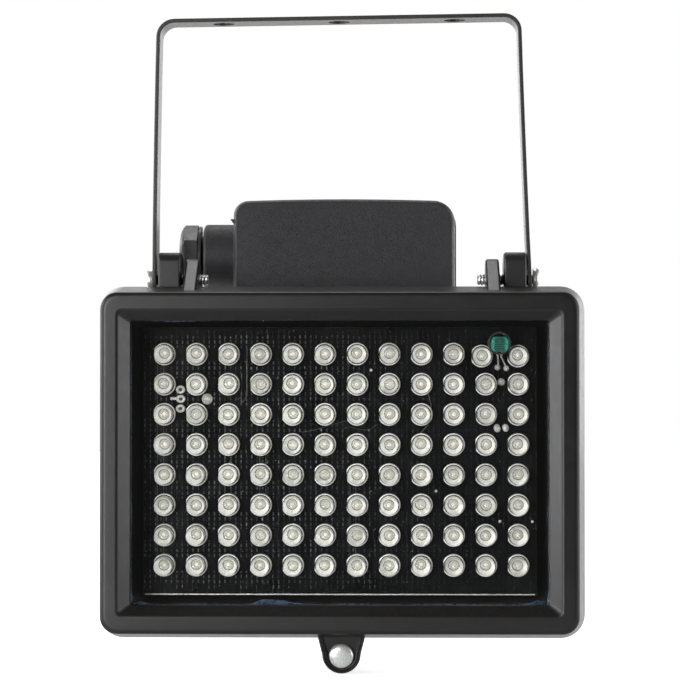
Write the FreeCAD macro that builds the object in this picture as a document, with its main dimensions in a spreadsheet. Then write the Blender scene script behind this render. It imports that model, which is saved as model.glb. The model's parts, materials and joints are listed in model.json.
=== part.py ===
import FreeCAD, Part

import math
import os

import Sketcher

# Driving dimensions in millimetres and degrees. The object's frame has +X to its right as seen from the
# front, +Y towards its back and +Z up. The origin is the middle hole of the bracket, on the web's top face.
# A depth is counted from the front face of the frame towards the back, a height from the frame's centre.
SIZES = {
    # Steel strip bracket
    "bracket_drop": 66.5,
    "arm_inset": 10.6,
    "arm_lean": 1.8,
    "strip_width": 10.0,
    "strip_thickness": 1.0,
    "bend_radius": 4.5,
    "foot_flat": 0.4,
    "web_hole_radius": 2.7,
    "web_hole_spacing": 29.0,
    # Pivot shared by bracket, housing and front frame
    "axis_depth": 20.0,
    "axis_rise": 4.0,
    "pivot_screw_radius": 1.5,
    "pivot_play": 0.05,
    "pivot_head_radius": 2.9,
    "pivot_head_height": 1.9,
    "pivot_head_gap": 0.15,
    "pivot_reach": 2.0,
    # Die-cast front frame
    "face_width": 116.2,
    "face_height": 83.0,
    "face_corner": 4.0,
    "frame_draft": 9.8,
    "frame_depth": 12.0,
    "opening_width": 108.0,
    "opening_height": 74.6,
    "opening_corner": 1.4,
    "window_width": 103.0,
    "window_height": 70.3,
    "window_corner": 0.9,
    "slope_depth": 4.8,
    "lip_thickness": 1.2,
    "skirt_wall": 2.6,
    "skirt_depth": 2.6,
    "edge_bevel": 0.5,
    "ear_inset": 22.3,
    "ear_width": 3.4,
    "ear_radius": 5.2,
    "ear_slope": 30.0,
    "ear_under": 20.0,
    "ear_root_depth": 3.0,
    # Closing tab under the frame
    "tab_half_width": 6.3,
    "tab_end_radius": 4.75,
    "tab_end_drop": 5.5,
    "tab_front": 4.6,
    "tab_rim": 1.3,
    "tab_recess": 1.4,
    "closing_screw_drop": 5.9,
    "closing_head_radius": 3.05,
    "closing_head_height": 2.0,
    "closing_shank_radius": 1.5,
    "closing_play": 0.25,
    "closing_engagement": 2.6,
    # Glass and its sealant
    "glass_lap": 1.5,
    "glass_corner": 4.0,
    "glass_thickness": 3.0,
    "sealant_layer": 0.4,
    "sealant_depth": 2.3,
    "sealant_width": 1.1,
    # Die-cast housing
    "swing_gap": 1.0,
    "gasket_thickness": 0.8,
    "housing_back_depth": 36.0,
    "housing_draft": 13.5,
    "housing_corner": 2.0,
    "cavity_corner": 1.0,
    "housing_wall": 2.4,
    "housing_floor": 3.0,
    "housing_back_bevel": 1.3,
    "lug_inset": 17.8,
    "lug_width": 5.55,
    "lug_radius": 6.7,
    "boss_gap": 0.4,
    "boss_radius": 4.2,
    "boss_length": 7.0,
    "boss_bite": 0.5,
    "post_width": 4.6,
    "post_inset_x": 4.2,
    "post_inset_z": 4.0,
    "fin_count": 12,
    "fin_pitch": 8.0,
    "fin_thickness": 1.6,
    "fin_height": 7.0,
    "fin_margin": 1.5,
    # Circuit board and what it carries
    "board_gap_x": 2.57,
    "board_gap_z": 1.67,
    "board_thickness": 1.6,
    "board_shift_x": -0.65,
    "board_shift_z": 0.1,
    "board_depth": 18.6,
    "bond_thickness": 0.4,
    "led_columns": 12,
    "led_rows": 8,
    "led_margin_x": 5.035,
    "led_margin_z": 7.145,
    "led_shift_x": -0.35,
    "led_shift_z": 0.5,
    "led_sides": 6,
    "led_flange_radius": 2.9,
    "led_flange_height": 1.0,
    "led_lens_radius": 2.5,
    "led_dome_height": 2.2,
    "led_dome_radius": 1.3,
    "led_height": 8.6,
    "led_push_x": 1.0,
    "led_push_z": 0.5,
    "sensor_shift": 0.7,
    "sensor_rise": 2.55,
    "sensor_depth": 12.0,
    "sensor_radius": 2.45,
    "sensor_thickness": 2.0,
    "sleeve_wall": 0.4,
    "sleeve_length": 3.6,
    "sleeve_lip": 0.3,
    "sensor_lead_radius": 0.25,
    "sensor_pad_shift": 0.6,
    "sensor_pad_drop": 5.95,
    "sensor_pad_spacing": 2.45,
    "sensor_lead_spread": 1.2,
    "transistor_inset": 9.35,
    "transistor_drop": 17.95,
    "transistor_width": 8.0,
    "transistor_thickness": 3.2,
    "transistor_clearance": 2.1,
    "transistor_pin": 0.6,
    "transistor_pin_pitch": 2.3,
    "transistor_standoff": 1.2,
    "resistor_inset": 9.95,
    "resistor_spacing": 3.4,
    "resistor_drop": 19.4,
    "resistor_lead_span": 11.7,
    "resistor_radius": 1.15,
    "resistor_length": 6.3,
    "resistor_lead": 0.6,
    # Wiring box on the housing's back
    "box_width": 57.2,
    "box_bottom": 4.0,
    "box_top": 66.8,
    "box_crown": 0.4,
    "box_depth": 21.5,
    "box_wall": 2.0,
    "box_corner_left": 4.0,
    "box_corner_right": 5.6,
    "box_edge_bevel": 0.7,
    "box_post_width": 6.4,
    "seal_thickness": 0.6,
    "seal_width": 1.4,
    "lid_overhang": 0.65,
    "lid_thickness": 2.4,
    "lid_edge_bevel": 0.9,
    "lid_screw_inset": 5.2,
    "lid_screw_radius": 1.2,
    "lid_screw_length": 9.0,
    "lid_head_radius": 2.4,
    "lid_head_height": 1.6,
    "thread_depth_spare": 1.0,
    "box_screw_x": 15.0,
    "box_screw_height": 18.0,
    "box_screw_radius": 1.5,
    "box_screw_head_radius": 2.8,
    "box_screw_head_height": 1.8,
    "box_screw_grip": 2.6,
    "screw_clearance": 0.2,
    "slip_fit": 0.05,
    "nib_drop": 5.8,
    "nib_size": 1.8,
    "nib_length": 0.9,
    # Small inner pieces
    "hexagon_sides": 6,
    "small_round_sides": 12,
    # Leads and terminals
    "lead_hole_height": 18.0,
    "grommet_radius": 4.4,
    "grommet_wall": 1.2,
    "grommet_stand": 0.8,
    "lead_radius": 0.7,
    "lead_spacing": 3.2,
    "lead_bend": 4.0,
    "lead_rise": 12.0,
    "lead_turn_stand": 7.5,
    "terminal_height": 44.0,
    "terminal_pitch": 8.0,
    "terminal_width": 17.0,
    "terminal_tall": 9.5,
    "terminal_depth": 10.5,
    "terminal_entry_radius": 1.3,
    "terminal_screw_radius": 1.6,
    "terminal_screw_well": 3.0,
    "terminal_screw_length": 2.0,
    # Cable gland on the box's left side
    "gland_height": 52.3,
    "gland_set_back": 10.9,
    "gland_boss_radius": 8.75,
    "gland_boss_end": 36.4,
    "gland_body_start": 27.4,
    "gland_body_end": 41.6,
    "gland_neck_radius": 5.4,
    "gland_mouth_radius": 3.9,
    "gland_mouth_depth": 4.4,
    "gland_cable_radius": 3.4,
    "washer_radius": 8.3,
    "washer_thickness": 0.8,
    "washer_gap": 0.6,
    "nut_across_flats": 15.0,
    "nut_end": 42.8,
    "nut_gap": 0.1,
    "nut_lip": 1.0,
    "bush_bore_radius": 3.0,
}


class Size:
    """A length that carries its formula, so that a drawn point and its expression always agree."""

    def __init__(self, value, text):
        self.value = value
        self.text = text

    def __add__(self, other):
        other = as_size(other)
        return Size(self.value + other.value, f"({self.text} + {other.text})")

    def __sub__(self, other):
        other = as_size(other)
        return Size(self.value - other.value, f"({self.text} - {other.text})")

    def __mul__(self, other):
        other = as_size(other)
        return Size(self.value * other.value, f"({self.text} * {other.text})")

    def __truediv__(self, other):
        other = as_size(other)
        return Size(self.value / other.value, f"({self.text} / {other.text})")

    def __neg__(self):
        return Size(-self.value, f"(-1 * {self.text})")

    __radd__ = __add__
    __rmul__ = __mul__


def as_size(thing):
    """A Size, also when a plain number is given."""
    if isinstance(thing, Size):
        return thing
    return Size(float(thing), repr(float(thing)))


def sin_of(angle):
    return Size(math.sin(math.radians(angle.value)), f"sin({angle.text})")


def cos_of(angle):
    return Size(math.cos(math.radians(angle.value)), f"cos({angle.text})")


def tan_of(angle):
    return Size(math.tan(math.radians(angle.value)), f"tan({angle.text})")


def make_sheet(doc):
    """The spreadsheet of driving dimensions, and the same dimensions as Size objects."""
    sheet = doc.addObject("Spreadsheet::Sheet", "Sizes")
    for row, (name, value) in enumerate(SIZES.items(), 1):
        sheet.set(f"A{row}", name)
        sheet.set(f"B{row}", str(value))
        sheet.setAlias(f"B{row}", name)
    doc.recompute()
    return {name: Size(float(sheet.get(name)), f"Sizes.{name}") for name in SIZES}


doc = FreeCAD.newDocument("infrared_illuminator")
s = make_sheet(doc)

# Sizes that follow from the driving dimensions, in the lamp's own frame: its origin is the centre of the
# front face, so that depths are along +Y and heights along +Z.
axis_height = s["face_height"] / 2 + s["axis_rise"]
ORIGIN = (as_size(0), as_size(0), as_size(0))
LAMP = (as_size(0), -s["axis_depth"], -(s["bracket_drop"] + axis_height))
PIVOT = (as_size(0), as_size(0), -s["bracket_drop"])
ear_inner = s["face_width"] / 2 - s["ear_inset"]
lug_inner = s["face_width"] / 2 - s["lug_inset"]
arm_foot = s["face_width"] / 2 - s["arm_inset"]
arm_top = arm_foot - s["arm_lean"]
closing_screw_height = s["face_height"] / 2 + s["closing_screw_drop"]
lip_back = s["slope_depth"] + s["lip_thickness"]
glass_front = lip_back + s["sealant_layer"]
glass_back = glass_front + s["glass_thickness"]
glass_width = s["window_width"] + 2 * s["glass_lap"]
glass_height = s["window_height"] + 2 * s["glass_lap"]
pocket_width = glass_width + 2 * s["sealant_width"]
pocket_height = glass_height + 2 * s["sealant_width"]
frame_spread = s["frame_depth"] * tan_of(s["frame_draft"])
frame_height = s["face_height"] + 2 * frame_spread
skirt_width = s["face_width"] + 2 * frame_spread - 2 * s["skirt_wall"]
skirt_height = frame_height - 2 * s["skirt_wall"]
skirt_corner = s["face_corner"] + frame_spread - s["skirt_wall"]
skirt_floor = s["frame_depth"] - s["skirt_depth"]
rim_front = skirt_floor + s["gasket_thickness"]
rim_width = skirt_width - 2 * s["swing_gap"]
rim_height = skirt_height - 2 * s["swing_gap"]
housing_floor_depth = s["housing_back_depth"] - s["housing_floor"]
housing_slope = tan_of(s["housing_draft"])
housing_length = s["housing_back_depth"] - rim_front
back_width = rim_width - 2 * housing_length * housing_slope
back_height = rim_height - 2 * housing_length * housing_slope
rim_corner = s["housing_corner"] + housing_length * housing_slope
board_back = s["board_depth"] + s["board_thickness"]
board_inset = s["housing_wall"] + (board_back - rim_front) * housing_slope
board_width = rim_width - 2 * board_inset - 2 * s["board_gap_x"]
board_height = rim_height - 2 * board_inset - 2 * s["board_gap_z"]
board_right = s["board_shift_x"] + board_width / 2
board_left = s["board_shift_x"] - board_width / 2
board_top = s["board_shift_z"] + board_height / 2
led_pitch_x = (board_width - 2 * s["led_margin_x"]) / (s["led_columns"] - 1)
led_pitch_z = (board_height - 2 * s["led_margin_z"]) / (s["led_rows"] - 1)
sensor_x = s["led_shift_x"] + led_pitch_x * (s["led_columns"] - 2) / 2 - s["sensor_shift"]
sensor_z = s["led_shift_z"] + led_pitch_z * (s["led_rows"] - 1) / 2 + s["sensor_rise"]
box_front_inside = s["housing_back_depth"] + s["box_wall"]
box_back = s["housing_back_depth"] + s["box_depth"]
lead_turn_depth = box_front_inside + s["lead_turn_stand"]
gland_depth = s["housing_back_depth"] + s["gland_set_back"]
lid_front = box_back + s["seal_thickness"]
lid_back = lid_front + s["lid_thickness"]
box_middle = (s["box_bottom"] + s["box_top"]) / 2
box_height = s["box_top"] - s["box_bottom"]


def place(thing, corner):
    """Binds an object's placement to formulas."""
    thing.Placement = FreeCAD.Placement(FreeCAD.Vector(*(part.value for part in corner)), FreeCAD.Rotation())
    for letter, part in zip("xyz", corner):
        thing.setExpression(f"Placement.Base.{letter}", part.text)


def new_body(label, corner=LAMP):
    body = doc.addObject("PartDesign::Body", label)
    body.Label = label
    place(body, corner)
    return body


def origin_part(body, role):
    return next(part for part in body.Origin.OriginFeatures if part.Role == role)


def new_sketch(body, name, role, offset):
    """A sketch on one of the body's own origin planes, moved along the plane's normal."""
    sketch = body.newObject("Sketcher::SketchObject", name)
    sketch.AttachmentSupport = [(origin_part(body, role), "")]
    sketch.MapMode = "FlatFace"
    sketch.AttachmentOffset = FreeCAD.Placement(FreeCAD.Vector(0, 0, offset.value), FreeCAD.Rotation())
    sketch.setExpression("AttachmentOffset.Base.z", offset.text)
    return sketch


def front_sketch(body, name, depth):
    """Drawn in X and Z, seen from the front."""
    return new_sketch(body, name, "XZ_Plane", -as_size(depth))


def side_sketch(body, name, x):
    """Drawn in Y and Z, seen from the right."""
    return new_sketch(body, name, "YZ_Plane", as_size(x))


def top_sketch(body, name, z):
    """Drawn in X and Y, seen from above."""
    return new_sketch(body, name, "XY_Plane", as_size(z))


def bind(sketch, constraint, formula):
    index = sketch.addConstraint(constraint)
    sketch.setExpression(f"Constraints[{index}]", formula.text)


def flat(point):
    """A point of a sketch as a vector."""
    return FreeCAD.Vector(as_size(point[0]).value, as_size(point[1]).value, 0)


def fix_point(sketch, curve, end, point, letters="XY"):
    """Ties a point of a curve to its coordinates."""
    for letter, part in zip("XY", point):
        part = as_size(part)
        if letter in letters:
            bind(sketch, Sketcher.Constraint(f"Distance{letter}", -1, 1, curve, end, part.value), part)


def add_arc(sketch, start, end, centre, clockwise):
    """Adds an arc and returns its number and which of its ends is the start of the path."""
    middle = flat(centre)
    first, last = (end, start) if clockwise else (start, end)
    rays = [flat(point) - middle for point in (first, last)]
    angles = [math.atan2(ray.y, ray.x) for ray in rays]
    if angles[1] <= angles[0]:
        angles[1] += 2 * math.pi
    circle = Part.Circle(middle, FreeCAD.Vector(0, 0, 1), (flat(start) - middle).Length)
    curve = sketch.addGeometry(Part.ArcOfCircle(circle, *angles))
    fix_point(sketch, curve, 3, centre)
    return (curve, 2, 1) if clockwise else (curve, 1, 2)


def outline(sketch, start, steps):
    """A closed path of lines (a point each) and arcs (end, centre, clockwise)."""
    pieces = []
    here = start
    for step, before in zip(steps, steps[-1:] + steps[:-1]):
        is_line = len(step) == 2
        if is_line:
            curve = sketch.addGeometry(Part.LineSegment(flat(here), flat(step)))
            pieces.append((curve, 1, 2))
        else:
            pieces.append(add_arc(sketch, here, *step))
        letters = "XY"
        if len(before) == 3:
            ray = flat(here) - flat(before[1])
            letters = "X" if abs(ray.y) > abs(ray.x) else "Y"
        fix_point(sketch, pieces[-1][0], pieces[-1][1], here, letters)
        here = step if is_line else step[0]
    for piece, follower in zip(pieces, pieces[1:] + pieces[:1]):
        sketch.addConstraint(Sketcher.Constraint("Coincident", piece[0], piece[2], follower[0], follower[1]))
    return sketch


def rectangle(sketch, left, low, right, high):
    return outline(sketch, (left, low), [(right, low), (right, high), (left, high), (left, low)])


def rounded(sketch, width, height, left_corner, right_corner=None, crown=None):
    """A rectangle about the sketch's origin with round corners and, if asked, an arched top."""
    right_corner = right_corner or left_corner
    x, y = width / 2, height / 2
    a, b = left_corner, right_corner
    steps = [
        (x - b, -y),
        ((x, b - y), (x - b, b - y), False),
        (x, y - b),
        ((x - b, y), (x - b, y - b), False),
        (a - x, y),
        ((-x, y - a), (a - x, y - a), False),
        (-x, a - y),
        ((a - x, -y), (a - x, a - y), False),
    ]
    if crown:
        half = (width - a - b) / 2
        steps[4] = ((a - x, y), ((a - b) / 2, y - half * half / (2 * crown)), False)
    return outline(sketch, (a - x, -y), steps)


def circles(sketch, centres, radius):
    for centre in centres:
        x, y = (as_size(part) for part in centre)
        shape = Part.Circle(FreeCAD.Vector(x.value, y.value, 0), FreeCAD.Vector(0, 0, 1), radius.value)
        curve = sketch.addGeometry(shape)
        fix_point(sketch, curve, 3, (x, y))
        bind(sketch, Sketcher.Constraint("Radius", curve, radius.value), radius)
    return sketch


def polygons(sketch, centres, radius, sides):
    """Regular outlines with a corner on the right, each corner tied to its formula."""
    count = int(sides.value)
    for x, y in centres:
        turns = [as_size(360) * i / sides for i in range(count)]
        corners = [(x + radius * cos_of(turn), y + radius * sin_of(turn)) for turn in turns]
        outline(sketch, corners[0], corners[1:] + corners[:1])
    return sketch


def finish_feature(body, feature, cuts):
    """Recomputes, and stops if the feature failed to add or remove material."""
    before = feature.BaseFeature.Shape.Volume if feature.BaseFeature else 0
    doc.recompute()
    change = feature.Shape.Volume - before
    if (change >= 0) if cuts else (change <= 0):
        raise RuntimeError(f"{body.Label}: {feature.Label} changed the volume by {change}")
    return feature


def extrude(body, kind, sketch, length, flipped=False, symmetric=False):
    """A pad or pocket. A pad goes along the sketch's normal and a pocket against it, unless flipped."""
    feature = body.newObject(f"PartDesign::{kind}", f"{sketch.Label}_{kind.lower()}")
    feature.Profile = sketch
    feature.Length = length.value
    feature.setExpression("Length", length.text)
    feature.Reversed = flipped
    if symmetric:
        feature.SideType = "Symmetric"
    return finish_feature(body, feature, kind == "Pocket")


def pad(body, sketch, length, **options):
    return extrude(body, "Pad", sketch, length, **options)


def pocket(body, sketch, length, **options):
    return extrude(body, "Pocket", sketch, length, **options)


def loft(body, kind, outlines):
    """Straight-sided solid (Additive) or hollow (Subtractive) through several outlines."""
    feature = body.newObject(f"PartDesign::{kind}Loft", f"{outlines[0].Label}_loft")
    feature.Profile = outlines[0]
    feature.Sections = outlines[1:]
    feature.Ruled = True
    return finish_feature(body, feature, kind == "Subtractive")


def mirror(body, features, role="YZ_Plane"):
    feature = body.newObject("PartDesign::Mirrored", f"{features[0].Label}_mirrored")
    feature.Originals = features
    feature.MirrorPlane = (origin_part(body, role), [""])
    body.Tip = feature
    doc.recompute()
    return feature


def ease_edges(body, name, kind, size, wanted):
    """Rounds or bevels (Fillet or Chamfer) the edges of the body so far that a test picks out."""
    base = body.Tip
    names = [f"Edge{i}" for i, edge in enumerate(base.Shape.Edges, 1) if wanted(edge)]
    if not names:
        raise RuntimeError(f"{body.Label}: no edge found for {name}")
    feature = body.newObject(f"PartDesign::{kind}", name)
    feature.Base = (base, names)
    field = "Radius" if kind == "Fillet" else "Size"
    setattr(feature, field, size.value)
    feature.setExpression(field, size.text)
    return finish_feature(body, feature, True)


def round_edges(body, name, radius, wanted):
    return ease_edges(body, name, "Fillet", radius, wanted)


def bevel_edges(body, name, size, wanted):
    return ease_edges(body, name, "Chamfer", size, wanted)


def lies_at_depth(depth):
    """A test for edges that lie in one plane across the depth."""
    level = as_size(depth).value

    def test(edge):
        return all(abs(vertex.Y - level) < 1e-4 for vertex in edge.Vertexes)

    return test


def new_feature(label, solids, corner=LAMP):
    """A node made of plain or repeated solids."""
    feature = doc.addObject("Part::Feature", label)
    feature.Label = label
    feature.Shape = solids[0] if len(solids) == 1 else Part.makeCompound(solids)
    place(feature, corner)
    return feature


def rod(start, end, radius):
    """A plain cylinder from one point to another."""
    here, there = (FreeCAD.Vector(*(as_size(part).value for part in point)) for point in (start, end))
    return Part.makeCylinder(radius.value, (there - here).Length, here, there - here)


def polygon(start, end, radius, sides):
    """A regular outline about a start point, square to the way to an end point."""
    here, there = (FreeCAD.Vector(*(as_size(part).value for part in point)) for point in (start, end))
    turned = FreeCAD.Rotation(FreeCAD.Vector(0, 0, 1), there - here)
    count = int(sides.value)
    turns = [i * 2 * math.pi / count for i in range(count + 1)]
    rim = [turned.multVec(FreeCAD.Vector(math.cos(a), math.sin(a), 0)) * radius.value for a in turns]
    return Part.makePolygon([here + point for point in rim])


def bar(start, end, radius, sides):
    """A few-sided bar from one point to another."""
    here, there = (FreeCAD.Vector(*(as_size(part).value for part in point)) for point in (start, end))
    return Part.Face(polygon(start, end, radius, sides)).extrude(there - here)


def block(low, high):
    """A box from its lowest to its highest corner."""
    here, there = (FreeCAD.Vector(*(as_size(part).value for part in point)) for point in (low, high))
    size = there - here
    return Part.makeBox(size.x, size.y, size.z, here)


def mounting_bracket():
    """Flat strip bent to a U: the web with three holes on top, and two arms that spread a little."""
    body = new_body("mounting_bracket", ORIGIN)
    foot, web = arm_foot, arm_top
    wall, bend = s["strip_thickness"], s["bend_radius"]
    low = -(s["bracket_drop"] + s["strip_width"] / 2)
    section = outline(front_sketch(body, "bracket_section", 0), (-foot, low), [
        (-web, -bend),
        ((bend - web, as_size(0)), (bend - web, -bend), True),
        (web - bend, as_size(0)),
        ((web, -bend), (web - bend, -bend), True),
        (foot, low),
        (foot - wall, low),
        (web - wall, -bend),
        ((web - bend, -wall), (web - bend, -bend), False),
        (bend - web, -wall),
        ((wall - web, -bend), (bend - web, -bend), False),
        (wall - foot, low),
        (-foot, low),
    ])
    pad(body, section, s["strip_width"], symmetric=True)
    spacing = s["web_hole_spacing"]
    hole_centres = [(-spacing, 0), (0, 0), (spacing, 0)]
    holes = circles(top_sketch(body, "web_holes", 0), hole_centres, s["web_hole_radius"])
    pocket(body, holes, 2 * wall)
    pivot_radius = s["pivot_screw_radius"] + s["pivot_play"]
    pivots = circles(side_sketch(body, "arm_pivots", 0), [(0, -s["bracket_drop"])], pivot_radius)
    pocket(body, pivots, 4 * foot, symmetric=True)

    def foot_corner(edge):
        return all(abs(vertex.Z - low.value) < 1e-4 for vertex in edge.Vertexes) and (
            abs(edge.Vertexes[0].Y - edge.Vertexes[-1].Y) < 1e-4
        )

    round_edges(body, "foot_ends", s["strip_width"] / 2 - s["foot_flat"], foot_corner)
    return body


def pivot_screw(label, side):
    """Screw along the tilt axis: it clamps the arm to the lug, and its tip carries the frame's ear."""
    head = arm_foot + s["pivot_head_gap"]
    top = head + s["pivot_head_height"]
    solid = bar((side * head, 0, 0), (side * top, 0, 0), s["pivot_head_radius"], s["small_round_sides"])
    tip = ear_inner - s["pivot_reach"]
    shank = rod((side * head, 0, 0), (side * tip, 0, 0), s["pivot_screw_radius"])
    return new_feature(label, [solid.fuse(shank)], PIVOT)


def front_frame():
    """Die-cast frame: sloped window, glass pocket, skirt over the housing's rim, two ears and a tab."""
    body = new_body("front_frame")
    bevel = s["edge_bevel"]
    spreads = [
        ("face", as_size(0), -bevel),
        ("edge", bevel, as_size(0)),
        ("skirt_end", s["frame_depth"], frame_spread),
    ]
    loft(body, "Additive", [
        rounded(
            front_sketch(body, name, depth),
            s["face_width"] + 2 * spread, s["face_height"] + 2 * spread, s["face_corner"] + spread,
        )
        for name, depth, spread in spreads
    ])

    tab_edge = s["skirt_wall"] - frame_height / 2
    tab = tab_outline(front_sketch(body, "tab", s["tab_front"]), tab_edge, as_size(0))
    pad(body, tab, s["frame_depth"] - s["tab_front"], flipped=True)

    mouth = rounded(
        front_sketch(body, "mouth", 0), s["opening_width"], s["opening_height"], s["opening_corner"]
    )
    window_size = (s["window_width"], s["window_height"], s["window_corner"])
    neck = rounded(front_sketch(body, "neck", s["slope_depth"]), *window_size)
    loft(body, "Subtractive", [mouth, neck])
    window = rounded(front_sketch(body, "window", s["slope_depth"]), *window_size)
    pocket(body, window, s["frame_depth"])
    seat = rounded(
        front_sketch(body, "glass_seat", s["frame_depth"]), pocket_width, pocket_height, s["window_corner"]
    )
    pocket(body, seat, s["frame_depth"] - lip_back, flipped=True)
    skirt = rounded(
        front_sketch(body, "skirt", s["frame_depth"]), skirt_width, skirt_height, skirt_corner
    )
    pocket(body, skirt, s["skirt_depth"], flipped=True)

    recess_edge = -s["face_height"] / 2 - s["tab_rim"]
    recess = tab_outline(front_sketch(body, "tab_recess", s["tab_front"]), recess_edge, s["tab_rim"])
    pocket(body, recess, s["tab_recess"])
    hole_radius = s["closing_shank_radius"] + s["pivot_play"]
    hole_centre = (0, -closing_screw_height)
    hole = circles(front_sketch(body, "tab_hole", 0), [hole_centre], hole_radius)
    pocket(body, hole, 2 * s["frame_depth"])

    ear = pad(body, ear_outline(side_sketch(body, "ear", ear_inner)), s["ear_width"])
    bore = circles(
        side_sketch(body, "ear_bore", ear_inner + s["ear_width"]),
        [(s["axis_depth"], axis_height)],
        s["pivot_screw_radius"] + s["pivot_play"],
    )
    ear_hole = pocket(body, bore, s["ear_width"])
    mirror(body, [ear, ear_hole])
    return body


def tab_outline(sketch, top, inset):
    """Tapering tongue with a round end, drawn from its root at the given height."""
    half = s["tab_half_width"] - inset
    radius = s["tab_end_radius"] - inset
    level = -(s["face_height"] / 2 + s["tab_end_drop"])
    return outline(sketch, (-half, top), [
        (-radius, level),
        ((radius, level), (0, level), False),
        (half, top),
        (-half, top),
    ])


def ear_outline(sketch):
    """Round end about the hinge axis, with a tangent top edge that runs down into the frame."""
    y, z, radius = s["axis_depth"], axis_height, s["ear_radius"]
    slope, under, root = s["ear_slope"], s["ear_under"], s["ear_root_depth"]
    touch = (y - radius * sin_of(slope), z + radius * cos_of(slope))
    foot = (y - radius * sin_of(under), z - radius * cos_of(under))
    root_top = touch[1] - (touch[0] - root) * sin_of(slope) / cos_of(slope)
    shelf = s["face_height"] / 2
    return outline(sketch, (root, root_top), [
        touch,
        (foot, (y, z), True),
        (s["frame_depth"], shelf),
        (root, shelf),
        (root, root_top),
    ])


def closing_screw():
    """Zinc screw that stays in the tab and reaches into the housing's boss."""
    z = -closing_screw_height
    seat = s["tab_front"] + s["tab_recess"]
    front = seat - s["closing_head_height"]
    tip = s["frame_depth"] + s["boss_gap"] + s["closing_engagement"]
    head = bar((0, front, z), (0, seat, z), s["closing_head_radius"], s["small_round_sides"])
    shank = rod((0, seat, z), (0, tip, z), s["closing_shank_radius"])
    return new_feature("closing_screw", [head.fuse(shank)])


def glass_pane():
    """Flat pane behind the window's lip."""
    body = new_body("glass_pane")
    outer = rounded(front_sketch(body, "pane", glass_front), glass_width, glass_height, s["glass_corner"])
    pad(body, outer, s["glass_thickness"], flipped=True)
    return body


def glass_sealant():
    """Silicone between lip and pane, and round the pane's edge."""
    body = new_body("glass_sealant")
    outer = rounded(front_sketch(body, "bead", lip_back), pocket_width, pocket_height, s["window_corner"])
    pad(body, outer, s["sealant_depth"], flipped=True)
    around = rounded(
        front_sketch(body, "pane_bed", glass_front), glass_width, glass_height, s["glass_corner"]
    )
    pocket(body, around, s["glass_thickness"])
    window = rounded(
        front_sketch(body, "bead_window", lip_back),
        s["window_width"], s["window_height"], s["window_corner"],
    )
    pocket(body, window, s["glass_thickness"])
    return body


def wall_height_at(depth, inset):
    """Height of the housing's drafted top wall at a depth, less an inset."""
    return rim_height / 2 - (depth - rim_front) * housing_slope - inset


def housing():
    """Die-cast dish with drafted walls, two pivot lugs, a boss for the closing screw, posts and fins."""
    body = new_body("housing")
    bevel, back, corner = s["housing_back_bevel"], s["housing_back_depth"], s["housing_corner"]
    outlines = [
        ("rear", back, back_width - 2 * bevel, back_height - 2 * bevel, corner),
        ("rear_edge", back - bevel, back_width, back_height, corner),
        ("rim", rim_front, rim_width, rim_height, rim_corner),
    ]
    loft(body, "Additive", [
        rounded(front_sketch(body, name, depth), width, height, corner)
        for name, depth, width, height, corner in outlines
    ])

    lug = pad(body, lug_outline(side_sketch(body, "lug", lug_inner)), s["lug_width"])
    bore = circles(
        side_sketch(body, "lug_bore", lug_inner + s["lug_width"]),
        [(s["axis_depth"], axis_height)],
        s["pivot_screw_radius"],
    )
    lug_hole = pocket(body, bore, s["lug_width"])
    mirror(body, [lug, lug_hole])

    boss_front = s["frame_depth"] + s["boss_gap"]
    boss_top = s["boss_bite"] - wall_height_at(boss_front + s["boss_length"], 0)
    radius = s["boss_radius"]
    level = -closing_screw_height
    boss = outline(front_sketch(body, "boss", boss_front), (-radius, boss_top), [
        (-radius, level),
        ((radius, level), (0, level), False),
        (radius, boss_top),
        (-radius, boss_top),
    ])
    pad(body, boss, s["boss_length"], flipped=True)
    thread_radius = s["closing_shank_radius"] + s["closing_play"]
    thread = circles(front_sketch(body, "boss_thread", boss_front), [(0, level)], thread_radius)
    pocket(body, thread, s["closing_engagement"] + s["thread_depth_spare"])

    wall = s["housing_wall"]
    floor_inset = wall + (housing_floor_depth - rim_front) * housing_slope
    levels = [("cavity", housing_floor_depth, floor_inset), ("cavity_mouth", rim_front, wall)]
    loft(body, "Subtractive", [
        rounded(
            front_sketch(body, name, depth), rim_width - 2 * inset, rim_height - 2 * inset,
            s["cavity_corner"] + floor_inset - inset,
        )
        for name, depth, inset in levels
    ])

    half = s["post_width"] / 2
    for number, (x, z) in enumerate(post_centres()):
        post = rectangle(
            front_sketch(body, f"post_{number}", housing_floor_depth),
            x - half, z - half, x + half, z + half,
        )
        pad(body, post, housing_floor_depth - board_back - s["bond_thickness"])

    holes = polygons(
        front_sketch(body, "box_screw_holes", housing_floor_depth),
        box_screw_centres(), s["box_screw_radius"], s["hexagon_sides"],
    )
    pocket(body, holes, 2 * s["housing_floor"])
    passage = polygons(
        front_sketch(body, "lead_passage", housing_floor_depth),
        [(0, s["lead_hole_height"])], s["grommet_radius"], s["small_round_sides"],
    )
    pocket(body, passage, 2 * s["housing_floor"])

    fin_left = -s["fin_pitch"] * (s["fin_count"] - 1) / 2 - s["fin_thickness"] / 2
    fin_low = s["fin_margin"] - back_height / 2 + s["housing_back_bevel"]
    fin = pad(
        body,
        rectangle(
            front_sketch(body, "fin", s["housing_back_depth"]),
            fin_left, fin_low, fin_left + s["fin_thickness"], s["box_bottom"] - s["fin_margin"],
        ),
        s["fin_height"],
        flipped=True,
    )
    pattern = body.newObject("PartDesign::LinearPattern", "fins")
    pattern.Originals = [fin]
    pattern.Direction = (origin_part(body, "X_Axis"), [""])
    pattern.Occurrences = int(s["fin_count"].value)
    pattern.Mode = "Spacing"
    pattern.Offset = s["fin_pitch"].value
    pattern.setExpression("Offset", s["fin_pitch"].text)
    pattern.setExpression("Occurrences", s["fin_count"].text)
    body.Tip = pattern
    doc.recompute()
    return body


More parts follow.
